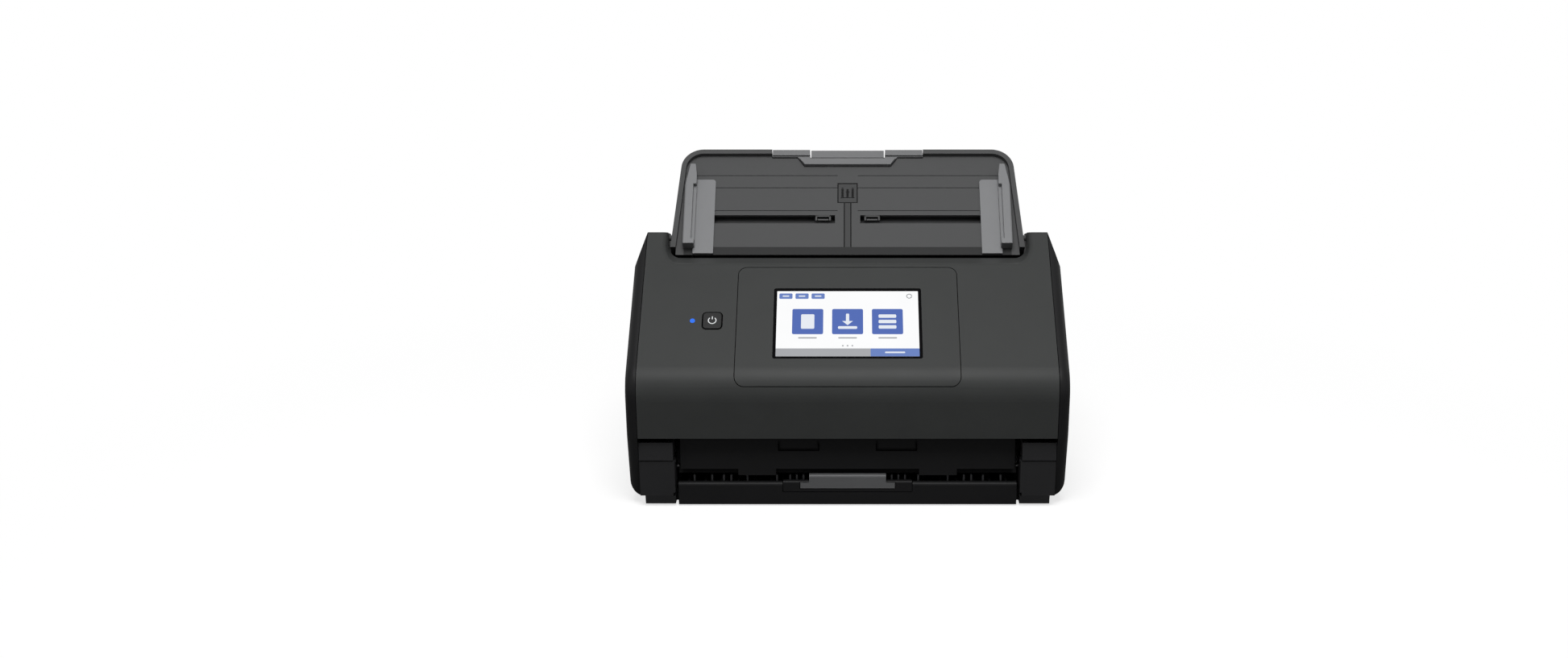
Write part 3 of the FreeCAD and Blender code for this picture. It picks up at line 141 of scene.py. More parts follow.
class ScannerSizes(bpy.types.PropertyGroup):
    """Sizes of what is added to the solids."""

    screen_margin: length("Screen margin", "From the glass edge to the lit ground", 2.1 * MM)
    film: length("Film", "Thickness of a thin layer on a face", 0.04 * MM)
    ground_corner: length("Ground corner", "Corner of the lit ground", 0.4 * MM)
    tile: length("Tile", "Side of a large tile", 21.0 * MM)
    tile_gap: length("Tile gap", "Between large tiles", 6.0 * MM)
    tile_corner: length("Tile corner", "Corner of a large tile", 1.2 * MM)
    tile_rise: length("Tile rise", "From the screen's middle up to the tiles' middle", 1.5 * MM)
    caption_drop: length("Caption drop", "From a tile's lower edge to the mark below it", 3.0 * MM)
    caption: length("Caption", "Height of that mark", 1.1 * MM)
    caption_corner: length("Caption corner", "Corner of that mark and of a bar's mark", 0.5 * MM)
    bar_height: length("Bar height", "Height of the bars at the foot", 6.4 * MM)
    bar_mark: length("Bar mark", "Height of the mark on a bar", 1.2 * MM)
    top_drop: length("Top drop", "From the upper edge to the small buttons' middle", 4.2 * MM)
    button: length("Button", "Width of a small button", 9.0 * MM)
    button_height: length("Button height", "Height of a small button", 4.6 * MM)
    button_corner: length("Button corner", "Corner of a small button", 0.8 * MM)
    button_first: length("First button", "From the left edge to its middle", 6.0 * MM)
    button_pitch: length("Button pitch", "Between small buttons' middles", 11.0 * MM)
    button_mark: length("Button mark", "Height of the mark on a small button", 1.0 * MM)
    button_mark_corner: length("Button mark corner", "Corner of that mark", 0.4 * MM)
    ring: length("Ring", "Radius of the ring at the upper right", 1.7 * MM)
    ring_stroke: length("Ring stroke", "Line width of the ring", 0.7 * MM)
    ring_inset: length("Ring inset", "From the right edge to the ring's middle", 6.0 * MM)
    dot: length("Dot", "Size of a page dot", 1.2 * MM)
    dot_corner: length("Dot corner", "Corner of a page dot", 0.55 * MM)
    dot_pitch: length("Dot pitch", "Between page dots", 3.2 * MM)
    dot_rise: length("Dot rise", "From the lower edge to the page dots", 8.6 * MM)
    symbol: length("Symbol", "Radius of the power symbol", 2.6 * MM)
    stroke: length("Stroke", "Line width of the power symbol", 0.62 * MM)
    symbol_sink: length("Symbol sink", "Depth of the symbol in the button", 0.02 * MM)
    clip: length("Clip", "Width of a bracket in a tray slot", 11.0 * MM)
    clip_place: length("Clip place", "From the middle to a bracket", 17.5 * MM)
    clip_line: length("Clip line", "Thickness of a bracket's bars", 1.2 * MM)
    clip_corner: length("Clip corner", "Corner of a bracket's bars", 0.3 * MM)
    clip_depth: length("Clip depth", "Below the tray's rim", 4.8 * MM)
    slot_top: length("Slot top", "From the tray's toe to the slots' upper edge", 33.1 * MM)
    channel: length("Channel", "Width of the tray's centre strip", 5.4 * MM)
    clasp: length("Clasp", "Height of the clasp on the strip", 17.0 * MM)
    groove: length("Groove", "Line width round the strip", 0.8 * MM)
    latch: length("Latch", "Height of a latch opening in the clasp", 7.0 * MM)
    rim: length("Rim", "Height of the tray's rim over its floor", 3.4 * MM)
    toe_width: length("Toe width", "Width of the shaded band at the tray's toe", 232.0 * MM)
    toe_height: length("Toe height", "Height of that band", 6.5 * MM)
    mark: length("Mark", "Width of a mark on the apron", 28.0 * MM)
    mark_place: length("Mark place", "From the middle to a mark", 33.0 * MM)
    mark_height: length("Mark height", "From the floor to a mark's lower edge", 38.6 * MM)
    mark_side: length("Mark side", "Height of a mark's upright lines", 4.4 * MM)
    mark_line: length("Mark line", "Width of a mark's lines", 0.8 * MM)
    screw: length("Screw", "Radius of a rear screw's head", 2.8 * MM)
    screw_inset: length("Screw inset", "From the rear cover's sides and foot to a screw", 10.0 * MM)
    screw_drop: length("Screw drop", "From the rear cover's top to the upper screws", 30.0 * MM)
    rib_width: length("Rib width", "Thickness of a rib behind the output lips", 1.2 * MM)
    rib_length: length("Rib length", "Depth of a rib behind the output lips", 3.6 * MM)
    rib_top: length("Rib top", "From the floor to the top of these ribs", 20.2 * MM)
    rib_back: length("Rib back", "From the lip's front to these ribs", 4.3 * MM)
    tray_floor: length("Tray floor", "From the floor to the output tray's face", 9.4 * MM)
    stage_floor: length("Stage floor", "From the floor to the second stage's face", 11.7 * MM)
    grip: length("Grip", "Length of a grip rib on the lever", 8.0 * MM)
    grip_line: length("Grip line", "Width and height of a grip rib", 0.7 * MM)
    grip_rise: length("Grip rise", "From the lever's top to a grip rib's middle", 0.1 * MM)
    grip_first: length("First grip rib", "From the lever's front to the first grip rib", 4.0 * MM)
    grip_pitch: length("Grip pitch", "Between the lever's grip ribs", 1.6 * MM)
    grip_ribs: IntProperty(name="Grip ribs", description="Grip ribs on the lever", default=6, min=2)


class Wire:
    """A shader or geometry socket that does arithmetic through Math nodes."""

    def __init__(self, tree, socket):
        self.tree = tree
        self.socket = socket

    def math(self, operation, first, second):
        node = self.tree.nodes.new("ShaderNodeMath")
        node.operation = operation
        for place, value in enumerate((first, second)):
            if isinstance(value, Wire):
                self.tree.links.new(value.socket, node.inputs[place])
            else:
                node.inputs[place].default_value = value
        return Wire(self.tree, node.outputs[0])

    def __add__(self, other):
        return self.math("ADD", self, other)

    def __radd__(self, other):
        return self.math("ADD", other, self)

    def __sub__(self, other):
        return self.math("SUBTRACT", self, other)

    def __rsub__(self, other):
        return self.math("SUBTRACT", other, self)

    def __mul__(self, other):
        return self.math("MULTIPLY", self, other)

    def __rmul__(self, other):
        return self.math("MULTIPLY", other, self)

    def maximum(self, other):
        return self.math("MAXIMUM", self, other)


class Tree:
    """Builds nodes in a material or geometry tree."""

    def __init__(self, tree):
        self.tree = tree
        self.tree.nodes.clear()

    def node(self, kind, output=0, settings=None, **inputs):
        """Makes a node, sets its settings and inputs (by name, or i0, i1 ...), and returns an output."""
        made = self.tree.nodes.new(kind)
        for name, value in (settings or {}).items():
            setattr(made, name, value)
        for name, value in inputs.items():
            numbered = name[0] == "i" and name[1:].isdigit()
            socket = made.inputs[int(name[1:]) if numbered else name]
            if isinstance(value, Wire):
                self.tree.links.new(value.socket, socket)
            else:
                socket.default_value = value
        return Wire(self.tree, made.outputs[output]) if made.outputs else made


def new_material(name):
    material = bpy.data.materials.new(name)
    material.use_nodes = True
    return material, Tree(material.node_tree)


def surface(tree, shader):
    tree.node("ShaderNodeOutputMaterial", Surface=shader)


def shade(base, share):
    """A darker or lighter colour."""
    return [min(1, value * share) for value in base]


def object_place(tree):
    """Object coordinates, which are the shared frame's metres."""
    return tree.node("ShaderNodeTexCoord", output=3)


def blend(tree, share, first, second):
    """Mix of two colours."""
    first, second = (*first, 1), (*second, 1)
    return tree.node("ShaderNodeMix", output=2, settings={"data_type": "RGBA"}, i0=share, i6=first, i7=second)


def grained(name, base, rough, grain=2600.0, relief=0.12, drift=0.16, shine=0.3):
    """Moulded plastic: fine spark-eroded grain, slow colour drift and uneven gloss."""
    material, tree = new_material(name)
    place = object_place(tree)
    fine = tree.node("ShaderNodeTexNoise", Vector=place, Scale=grain, Detail=3.0, Roughness=0.6)
    slow = tree.node("ShaderNodeTexNoise", Vector=place, Scale=DRIFT_SCALE, Detail=4.0, Roughness=0.55)
    speck = slow * DRIFT_SHARE + fine * GRAIN_SHARE
    tint = blend(tree, speck, shade(base, 1 - drift), shade(base, 1 + drift))
    gloss = rough + (slow - 0.5) * DRIFT_GLOSS + (fine - 0.5) * GRAIN_GLOSS
    bump = tree.node("ShaderNodeBump", Height=fine, Strength=relief, Distance=GRAIN_DEPTH)
    shader = tree.node(
        "ShaderNodeBsdfPrincipled",
        **{"Base Color": tint, "Roughness": gloss, "Normal": bump, "Specular IOR Level": shine},
    )
    surface(tree, shader)
    return material


def brushed(name, base):
    """Sheet steel with fine lines along X and a few darker patches."""
    material, tree = new_material(name)
    place = object_place(tree)
    stretched = tree.node("ShaderNodeMapping", Vector=place, Scale=(40.0, 1600.0, 1600.0))
    lines = tree.node("ShaderNodeTexNoise", Vector=stretched, Scale=1.0, Detail=4.0)
    patch = tree.node("ShaderNodeTexNoise", Vector=place, Scale=25.0, Detail=3.0)
    tint = blend(tree, patch, shade(base, 0.75), base)
    bump = tree.node("ShaderNodeBump", Height=lines, Strength=0.15, Distance=0.05 * MM)
    rough = 0.26 + lines * 0.2
    shader = tree.node(
        "ShaderNodeBsdfPrincipled",
        **{"Base Color": tint, "Metallic": 1.0, "Roughness": rough, "Normal": bump},
    )
    surface(tree, shader)
    return material


def circuit(name, base):
    """Solder mask with pale tracks."""
    material, tree = new_material(name)
    place = object_place(tree)
    cells = tree.node("ShaderNodeTexVoronoi", settings={"distance": "MANHATTAN"}, Vector=place, Scale=300.0)
    tracks = tree.node("ShaderNodeTexWave", Vector=place, Scale=220.0, Distortion=6.0, Detail=2.0)
    tint = blend(tree, tracks, base, shade(base, 1.9))
    bump = tree.node("ShaderNodeBump", Height=cells, Strength=0.2, Distance=0.1 * MM)
    shader = tree.node(
        "ShaderNodeBsdfPrincipled", **{"Base Color": tint, "Roughness": 0.3 + cells * 0.2, "Normal": bump}
    )
    surface(tree, shader)
    return material


def pane(name, tint, shine=0.2):
    """Dark glass with a faint smear."""
    material, tree = new_material(name)
    smear = tree.node("ShaderNodeTexNoise", Vector=object_place(tree), Scale=60.0, Detail=5.0)
    mixed = blend(tree, smear, tint, shade(tint, 1.3))
    rough = 0.03 + smear * 0.05
    shader = tree.node(
        "ShaderNodeBsdfPrincipled", **{"Base Color": mixed, "Roughness": rough, "Specular IOR Level": shine}
    )
    surface(tree, shader)
    return material


def lit(name, base, strength, pixel=9000.0):
    """Backlit layer with a faint pixel grid."""
    material, tree = new_material(name)
    place = object_place(tree)
    grid = tree.node("ShaderNodeTexVoronoi", Vector=place, Scale=pixel)
    cloud = tree.node("ShaderNodeTexNoise", Vector=place, Scale=45.0, Detail=2.0)
    tint = blend(tree, grid * 0.5 + cloud * 0.4, base, shade(base, 0.9))
    shader = tree.node(
        "ShaderNodeBsdfPrincipled",
        **{
            "Base Color": (0.0, 0.0, 0.0, 1),
            "Roughness": 0.35,
            "Specular IOR Level": 0.1,
            "Emission Color": tint,
            "Emission Strength": strength,
        },
    )
    surface(tree, shader)
    return material


def paint(material, *names):
    """Gives CAD nodes a material."""
    for name in names:
        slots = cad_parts[name].data.materials
        slots.clear()
        slots.append(material)


class Plate:
    """Local frame on the top face of a sloped CAD block: x to the right, y up the slope, z out of it."""

    def __init__(self, node, angle):
        right = Vector((1, 0, 0))
        up = Vector((0, math.cos(angle), math.sin(angle)))
        out = right.cross(up)
        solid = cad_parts[node]
        points = [solid.matrix_world @ vertex.co for vertex in solid.data.vertices]
        spans = []
        for axis in (right, up, out):
            places = [axis.dot(point) for point in points]
            spans.append((min(places), max(places)))
        self.width, self.height = (high - low for low, high in spans[:2])
        middle = [(low + high) / 2 for low, high in spans[:2]]
        place = right * middle[0] + up * middle[1] + out * spans[2][1]
        self.matrix = Matrix.Translation(place) @ Matrix((right, up, out)).transposed().to_4x4()


def make_piece(name, mesh, material, body):
    """Adds a mesh of the scene's own, which moves with a body."""
    piece = bpy.data.objects.new(name, mesh)
    bpy.context.scene.collection.objects.link(piece)
    mesh.materials.clear()
    mesh.materials.append(material)
    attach(piece, body)


def rounded_loop(width, height, radius, steps=6):
    """Points of a rounded rectangle about its centre."""
    points = []
    for turn, (sx, sy) in enumerate(((1, 1), (-1, 1), (-1, -1), (1, -1))):
        for step in range(steps + 1):
            angle = math.pi / 2 * (turn + step / steps)
            x = sx * (width / 2 - radius) + radius * math.cos(angle)
            points.append((x, sy * (height / 2 - radius) + radius * math.sin(angle)))
    return points


class Layers:
    """Collects flat shapes in one mesh, each a thin prism at its own height."""

    def __init__(self, matrix):
        self.matrix = matrix
        self.mesh = bmesh.new()

    def add(self, points, low, thick):
        below = [self.mesh.verts.new(self.matrix @ Vector((x, y, low))) for x, y in points]
        above = [self.mesh.verts.new(self.matrix @ Vector((x, y, low + thick))) for x, y in points]
        self.mesh.faces.new(above)
        self.mesh.faces.new(below[::-1])
        count = len(points)
        for i in range(count):
            j = (i + 1) % count
            self.mesh.faces.new((below[i], below[j], above[j], above[i]))

    def tile(self, x, y, width, height, radius, low, thick):
        self.add([(x + px, y + py) for px, py in rounded_loop(width, height, radius)], low, thick)

    def arc(self, x, y, radius, stroke, start, end, low, thick, steps=40):
        turns = [math.radians(start + (end - start) * i / steps) for i in range(steps + 1)]
        wide, narrow = radius + stroke / 2, radius - stroke / 2
        outer = [(x + wide * math.cos(turn), y + wide * math.sin(turn)) for turn in turns]
        inner = [(x + narrow * math.cos(turn), y + narrow * math.sin(turn)) for turn in turns]
        self.add(outer + inner[::-1], low, thick)

    def done(self, name):
        mesh = bpy.data.meshes.new(name)
        bmesh.ops.recalc_face_normals(self.mesh, faces=self.mesh.faces)
        self.mesh.to_mesh(mesh)
        self.mesh.free()
        return mesh


class SCANNER_OT_casing(bpy.types.Operator):
    """Finish the covers, posts and base"""

    bl_idname = "scanner.casing"
    bl_label = "Casing"

    def execute(self, context):
        c, s = context.scene.scanner_colours, context.scene.scanner_sizes
        face = grained("face_plastic", c.face, 0.46, shine=0.16)
        black = grained("casing_plastic", c.casing, 0.42, shine=0.1)
        paint(face, "front_cover", "control_panel")
        paint(black, "left_side_cover", "right_side_cover", "rear_cover", "bottom_pan", "cover_release_lever")
        # Posts and hinge caps: the casing plastic made lighter, partly as painted highlight for their
        # chamfered edges
        posts_and_highlight = grained("post_plastic_and_highlight", shade(c.casing, 2.1), 0.4, shine=0.14)
        paint(posts_and_highlight, "left_front_post", "right_front_post", "left_hinge_cap", "right_hinge_cap")
        apron = grained("apron_plastic", c.apron, 0.5, shine=0.08)
        paint(apron, "mouth_apron", "upper_paper_guide", "lower_paper_guide")
        paint(apron, "left_hinge_arm", "right_hinge_arm")
        # The apron's U marks are drawn as dark lines of painted shade for their grooves
        self.mark_edges(s, grained("mark_shade_plastic", shade(c.apron, 0.15), 0.7, shine=0.02))
        return {"FINISHED"}

    def mark_edges(self, sizes, finish):
        """Dark U-shaped lines of the two marks on the apron, painted shade that stands in for the shade in
        their grooves.
        """
        low = Vector(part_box("mouth_apron")[0])
        upright = Matrix.Translation((0, low.y, 0)) @ Matrix.Rotation(math.pi / 2, 4, "X")
        lines = Layers(upright)
        line, tall, thick = sizes.mark_line, sizes.mark_side, 2 * sizes.film
        for x in (-sizes.mark_place, sizes.mark_place):
            lines.tile(x, sizes.mark_height, sizes.mark, line, LINE_CORNER, -sizes.film, thick)
            for side in (-1, 1):
                edge = x + side * (sizes.mark - line) / 2
                y = sizes.mark_height + (line + tall) / 2
                lines.tile(edge, y, line, tall, LINE_CORNER, -sizes.film, thick)
        make_piece("mark_edges", lines.done("mark_edges"), finish, "cover")


class SCANNER_OT_trays(bpy.types.Operator):
    """Finish the input tray, edge guides and output tray"""

    bl_idname = "scanner.trays"
    bl_label = "Trays"

    def execute(self, context):
        c, s = context.scene.scanner_colours, context.scene.scanner_sizes
        paint(grained("tray_plastic", c.tray, 0.5, shine=0.16), "input_tray_plate", "input_tray_lid")
        guide = grained("guide_plastic", c.guide, 0.4, grain=3200.0)
        paint(guide, "left_edge_guide", "right_edge_guide", "guide_pinion")
        handle = grained("handle_plastic", c.handle, 0.42, grain=3200.0)
        paint(handle, "tray_extension", "tray_inner_extension")
        paint(grained("stop_plastic", shade(c.handle, 0.62), 0.42), "output_third_stage")
        paint(grained("output_plastic", c.output, 0.44, shine=0.12), "output_tray", "output_second_stage")
        self.clips(s, grained("clip_plastic", shade(c.tray, 0.5), 0.45))
        paint(grained("strip_plastic", shade(c.tray, 0.68), 0.5, shine=0.16), "tray_centre_strip")
        # Painted shade: near-black lines and latch openings on the centre strip
        self.strip_edges(s, grained("strip_shade_plastic", shade(c.tray, 0.12), 0.6, shine=0.08))
        # Painted shade: a darker sheet across the tray's toe, standing in for the shade at its foot
        self.toe_band(s, grained("toe_shade_plastic", shade(c.tray, 0.38), 0.5, shine=0.1))
        return {"FINISHED"}

    def toe_band(self, sizes, finish):
        """Darker band across the toe of the input tray: painted shade, a dark sheet standing in for the shade
        at the tray's foot.
        """
        plate = Plate("input_tray_plate", TRAY)
        band = Layers(plate.matrix)
        middle = (sizes.toe_height - plate.height) / 2
        band.tile(0, middle, sizes.toe_width, sizes.toe_height, BAND_CORNER, -sizes.rim, sizes.film)
        make_piece("toe_band", band.done("toe_band"), finish, "input_tray")

    def strip_edges(self, sizes, finish):
        """Dark lines along the tray's centre strip and round its clasp, and dark latch openings: painted
        shade in these grooves and openings.
        """
        strip = Plate("tray_centre_strip", TRAY)
        lines = Layers(strip.matrix)
        line, film, top = sizes.groove, sizes.film, strip.height / 2
        joint = top - sizes.clasp
        clasp_y = top - sizes.clasp / 2
        for side in (-1, 1):
            x = side * (sizes.channel - line) / 2
            lines.tile(x, (joint - top) / 2, line, joint + top, LINE_CORNER, 0, film)
            x = side * (strip.width - line) / 2
            lines.tile(x, clasp_y, line, sizes.clasp, LINE_CORNER, 0, film)
        for y in (top - line / 2, joint + line / 2):
            lines.tile(0, y, strip.width - 2 * line, line, LINE_CORNER, 0, film)
        for place in (-1, 0, 1):
            lines.tile(place * strip.width / 4, clasp_y, 2 * line, sizes.latch, BAND_CORNER, 0, film)
        make_piece("strip_edges", lines.done("strip_edges"), finish, "input_tray")

    def clips(self, sizes, finish):
        """Small brackets in the slots of the input tray, hung from the slots' upper edge."""
        plate = Plate("input_tray_plate", TRAY)
        clip = Layers(plate.matrix)
        wide, line, corner = sizes.clip, sizes.clip_line, sizes.clip_corner
        low = -sizes.clip_depth
        top = sizes.slot_top - plate.height / 2 + line
        for x in (-sizes.clip_place, sizes.clip_place):
            clip.tile(x, top - line, wide, 2 * line, corner, low, line)
            clip.tile(x, top - 4 * line, wide * 0.7, line, corner, low, line)
            for side in (-1, 1):
                edge = x + side * (wide - line) / 2
                clip.tile(edge, top - 2.5 * line, line, 4 * line, corner, low, line)
        make_piece("slot_clips", clip.done("slot_clips"), finish, "input_tray")


class SCANNER_OT_inside(bpy.types.Operator):
    """Finish the rollers, frames, boards, ports and feet"""

    bl_idname = "scanner.inside"
    bl_label = "Inside"

    def execute(self, context):
        c = context.scene.scanner_colours
        shafts = [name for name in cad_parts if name.endswith("_shaft")]
        tyres = [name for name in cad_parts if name.endswith("_tyres")]
        steel = brushed("plain_steel", c.steel)
        paint(steel, "left_frame", "right_frame", "chassis_plate", "drive_motor", "pan_screws", *shafts)
        rubber = grained("rubber", c.rubber, 0.75, grain=1800.0, relief=0.3)
        paint(rubber, "rubber_feet", "drive_belt", *tyres)
        paint(circuit("circuit_board", c.board), "main_board", "panel_board")
        paint(pane("scan_glass", c.glass), "lower_scan_glass", "upper_scan_glass")
        inner = grained("inner_plastic", c.apron, 0.55)
        paint(inner, "lower_sensor_bar", "upper_sensor_bar", "display_module", "roller_ears", "gear_case")
        paint(grained("port_plastic", shade(c.casing, 1.6), 0.35), "usb_socket", "power_inlet")
        return {"FINISHED"}


class SCANNER_OT_screen(bpy.types.Operator):
    """Light the touch screen with a plain layout of tiles, marks and bars"""

    bl_idname = "scanner.screen"
    bl_label = "Screen"

    def execute(self, context):
        c, s = context.scene.scanner_colours, context.scene.scanner_sizes
        glass = Plate("touch_glass", SLOPE)
        paint(pane("touch_pane", c.touch, shine=0.04), "touch_glass")
        film = s.film
        width, height = glass.width - 2 * s.screen_margin, glass.height - 2 * s.screen_margin
        ground, tiles, bars, marks, quiet = (Layers(glass.matrix) for _ in range(5))
        ground.tile(0, 0, width, height, s.ground_corner, 0, film)
        step = s.tile + s.tile_gap
        caption_y = s.tile_rise - s.tile / 2 - s.caption_drop
        dot_y = s.dot_rise - height / 2
        for place in (-1, 0, 1):
            x = place * step
            tiles.tile(x, s.tile_rise, s.tile, s.tile, s.tile_corner, film, film)
            self.motif(marks, place, x, s.tile_rise, s.tile, 2 * film)
            quiet.tile(x, caption_y, s.tile * CAPTION_SHARE, s.caption, s.caption_corner, film, film)
            quiet.tile(place * s.dot_pitch, dot_y, s.dot, s.dot, s.dot_corner, film, film)
        bar_y = (s.bar_height - height) / 2
        blue, grey = width * BAR_SHARE, width * (1 - BAR_SHARE)
        quiet.tile(-blue / 2, bar_y, grey, s.bar_height, BAND_CORNER, film, film)
        bars.tile(grey / 2, bar_y, blue, s.bar_height, BAND_CORNER, film, film)
        marks.tile(grey / 2, bar_y, width * BAR_MARK_SHARE, s.bar_mark, s.caption_corner, 2 * film, film)
        top_y = height / 2 - s.top_drop
        for place in range(3):
            x = s.button_first + place * s.button_pitch - width / 2
            bars.tile(x, top_y, s.button, s.button_height, s.button_corner, film, film)
            marks.tile(x, top_y, s.button / 2, s.button_mark, s.button_mark_corner, 2 * film, film)
        quiet.arc(width / 2 - s.ring_inset, top_y, s.ring, s.ring_stroke, 0, 350, film, film)
        for name, layer, base, power in (
            ("screen_ground", ground, c.screen, 1.02),
            ("screen_tiles", tiles, c.tile, 0.95),
            ("screen_bars", bars, c.bar, 0.95),
            ("screen_marks", marks, c.picture, 0.95),
            ("screen_quiet", quiet, c.quiet, 0.95),
        ):
            make_piece(name, layer.done(name), lit(name, base, power), "cover")
        return {"FINISHED"}

    def motif(self, layer, kind, x, y, side, low):
        """Plain pictures: a sheet, an arrow over a tray and a stack of cards."""
        thick = bpy.context.scene.scanner_sizes.film
        unit = side / PICTURE_GRID
        if kind < 0:
            layer.tile(x, y, 9 * unit, 12 * unit, 0.8 * unit, low, thick)
        elif kind == 0:
            layer.tile(x, y - 5 * unit, 13 * unit, 2.2 * unit, 0.8 * unit, low, thick)
            layer.tile(x, y + 3 * unit, 2.2 * unit, 7 * unit, 0.6 * unit, low, thick)
            head, wing, barb = y - 3 * unit, 3.6 * unit, y + 0.4 * unit
            layer.add([(x - wing, barb), (x, head), (x + wing, barb)], low, thick)
        else:
            for rise in (-4.5, 0, 4.5):
                layer.tile(x, y + rise * unit, 12 * unit, 2.8 * unit, 0.8 * unit, low, thick)


class SCANNER_OT_keys(bpy.types.Operator):
    """Finish the power button, its symbol and the status lamp"""

    bl_idname = "scanner.keys"
    bl_label = "Keys"

    def execute(self, context):
        c, s = context.scene.scanner_colours, context.scene.scanner_sizes
        paint(grained("key_plastic", c.key, 0.38, shine=0.16), "power_button")
        paint(lit("lamp_light", c.lamp, 1.1, pixel=600.0), "status_lamp")
        top = Plate("power_button", SLOPE)
        symbol = Layers(top.matrix)
        symbol.arc(0, 0, s.symbol, s.stroke, SYMBOL_START, SYMBOL_END, -s.symbol_sink, s.film)
        symbol.tile(0, s.symbol * 0.8, s.stroke, s.symbol * 0.95, s.stroke * 0.4, -s.symbol_sink, s.film)
        white = lit("symbol_light", c.symbol, 1.0)
        make_piece("power_symbol", symbol.done("power_symbol"), white, "power_button")
        return {"FINISHED"}


def instanced(name, seed, points, finish, size=1.0):
    """Copies of a small seed mesh at points, made by geometry nodes and kept as a plain mesh."""
    group = bpy.data.node_groups.new(name, "GeometryNodeTree")
    group.interface.new_socket("Geometry", in_out="INPUT", socket_type="NodeSocketGeometry")
    seed_input = group.interface.new_socket("Seed Piece", in_out="INPUT", socket_type="NodeSocketObject")
    size_input = group.interface.new_socket("Scale", in_out="INPUT", socket_type="NodeSocketFloat")
    finish_input = group.interface.new_socket("Finish", in_out="INPUT", socket_type="NodeSocketMaterial")
    group.interface.new_socket("Geometry", in_out="OUTPUT", socket_type="NodeSocketGeometry")
    tree = Tree(group)
    entry = group.nodes.new("NodeGroupInput")
    wires = {socket.name: Wire(group, socket) for socket in entry.outputs if socket.name}
    piece = tree.node("GeometryNodeObjectInfo", output=4, i0=wires["Seed Piece"])
    cloud = tree.node("GeometryNodeMeshToPoints", Mesh=wires["Geometry"])
    copies = tree.node("GeometryNodeInstanceOnPoints", Points=cloud, Instance=piece, Scale=wires["Scale"])
    real = tree.node("GeometryNodeRealizeInstances", Geometry=copies)
    done = tree.node("GeometryNodeSetMaterial", Geometry=real, Material=wires["Finish"])
    tree.node("NodeGroupOutput", Geometry=done)
    holder_mesh = bpy.data.meshes.new(name)
    holder_mesh.from_pydata([tuple(point) for point in points], [], [])
    holder = bpy.data.objects.new(name, holder_mesh)
    bpy.context.scene.collection.objects.link(holder)
    modifier = holder.modifiers.new(name, "NODES")
    modifier.node_group = group
    modifier[size_input.identifier] = size
    modifier[finish_input.identifier] = finish
    modifier[seed_input.identifier] = seed
    bpy.context.view_layer.update()
    result = bpy.data.meshes.new_from_object(holder.evaluated_get(bpy.context.evaluated_depsgraph_get()))
    result.name = name
    bpy.data.objects.remove(holder)
    bpy.data.objects.remove(seed)
    return result


def screw_seed(radius):
    """Plain pan head facing +Y."""
    mesh = bmesh.new()
    top, depth = radius * 0.72, radius * 0.5
    bmesh.ops.create_cone(mesh, cap_ends=True, segments=32, radius1=radius, radius2=top, depth=depth)
    bmesh.ops.bevel(mesh, geom=mesh.edges[:], offset=radius * 0.06, segments=2, affect="EDGES")
    turn = Matrix.Rotation(-math.pi / 2, 4, "X")
    bmesh.ops.transform(mesh, matrix=turn, verts=mesh.verts)
    return seed_object("screw_seed", mesh)


def rib_seed(size):
    """Plain rib with softened edges about its centre."""
    rib = bmesh.new()
    bmesh.ops.create_cube(rib, size=1.0)
    bmesh.ops.scale(rib, vec=size, verts=rib.verts)
    bmesh.ops.bevel(rib, geom=rib.edges[:], offset=RIB_EDGE, segments=2, affect="EDGES")
    return seed_object("rib_seed", rib)


def seed_object(name, mesh):
    data = bpy.data.meshes.new(name)
    mesh.to_mesh(data)
    mesh.free()
    seed = bpy.data.objects.new(name, data)
    bpy.context.scene.collection.objects.link(seed)
    return seed


class SCANNER_OT_fittings(bpy.types.Operator):
    """Add the rear screws, the lever's grip ribs and the ribs in the mouth"""

    bl_idname = "scanner.fittings"
    bl_label = "Fittings"

    def execute(self, context):
        s = context.scene.scanner_sizes
        self.rear_screws(s)
        self.lever_ribs(s)
        self.mouth_ribs(context.scene.scanner_colours, s)
        return {"FINISHED"}

    def rear_screws(self, sizes):
        """Four screws near the rear cover's corners."""
        low, high = (Vector(corner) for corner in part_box("rear_cover"))
        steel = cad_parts["pan_screws"].data.materials[0]
        heads = []
        for x in (low.x + sizes.screw_inset, high.x - sizes.screw_inset):
            for z in (low.z + sizes.screw_inset, high.z - sizes.screw_drop):
                heads.append((x, high.y + sizes.screw * 0.2, z))
        screws = instanced("rear_screws", screw_seed(sizes.screw), heads, steel)
        make_piece("rear_screws", screws, steel, "base")

    def lever_ribs(self, sizes):
        """Grip ribs across the cover's release lever."""
        low, high = (Vector(corner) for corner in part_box("cover_release_lever"))
        middle, first, top = (low.x + high.x) / 2, low.y + sizes.grip_first, high.z + sizes.grip_rise
        rows = [(middle, first + step * sizes.grip_pitch, top) for step in range(sizes.grip_ribs)]
        seed = rib_seed((sizes.grip, sizes.grip_line, sizes.grip_line))
        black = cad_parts["cover_release_lever"].data.materials[0]
        ribs = instanced("lever_ribs", seed, rows, black)
        make_piece("lever_ribs", ribs, black, "release_lever")

    def mouth_ribs(self, colours, sizes):
        """Short ribs that stand behind the lips of the output tray and its second stage."""
        finish = grained("rib_plastic", shade(colours.output, 3.2), 0.4)
        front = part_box("output_tray")[0][1] + sizes.rib_back
        for name, body, floor, places in (
            ("tray_ribs", "output_tray", sizes.tray_floor, TRAY_RIBS),
            ("stage_ribs", "output_second_stage", sizes.stage_floor, STAGE_RIBS),
        ):
            tall = sizes.rib_top - floor
            middle = front + sizes.rib_length / 2
            points = [(side * x, middle, floor + tall / 2) for x in places for side in (-1, 1)]
            seed = rib_seed((sizes.rib_width, sizes.rib_length, tall))
            make_piece(name, instanced(name, seed, points, finish), finish, body)


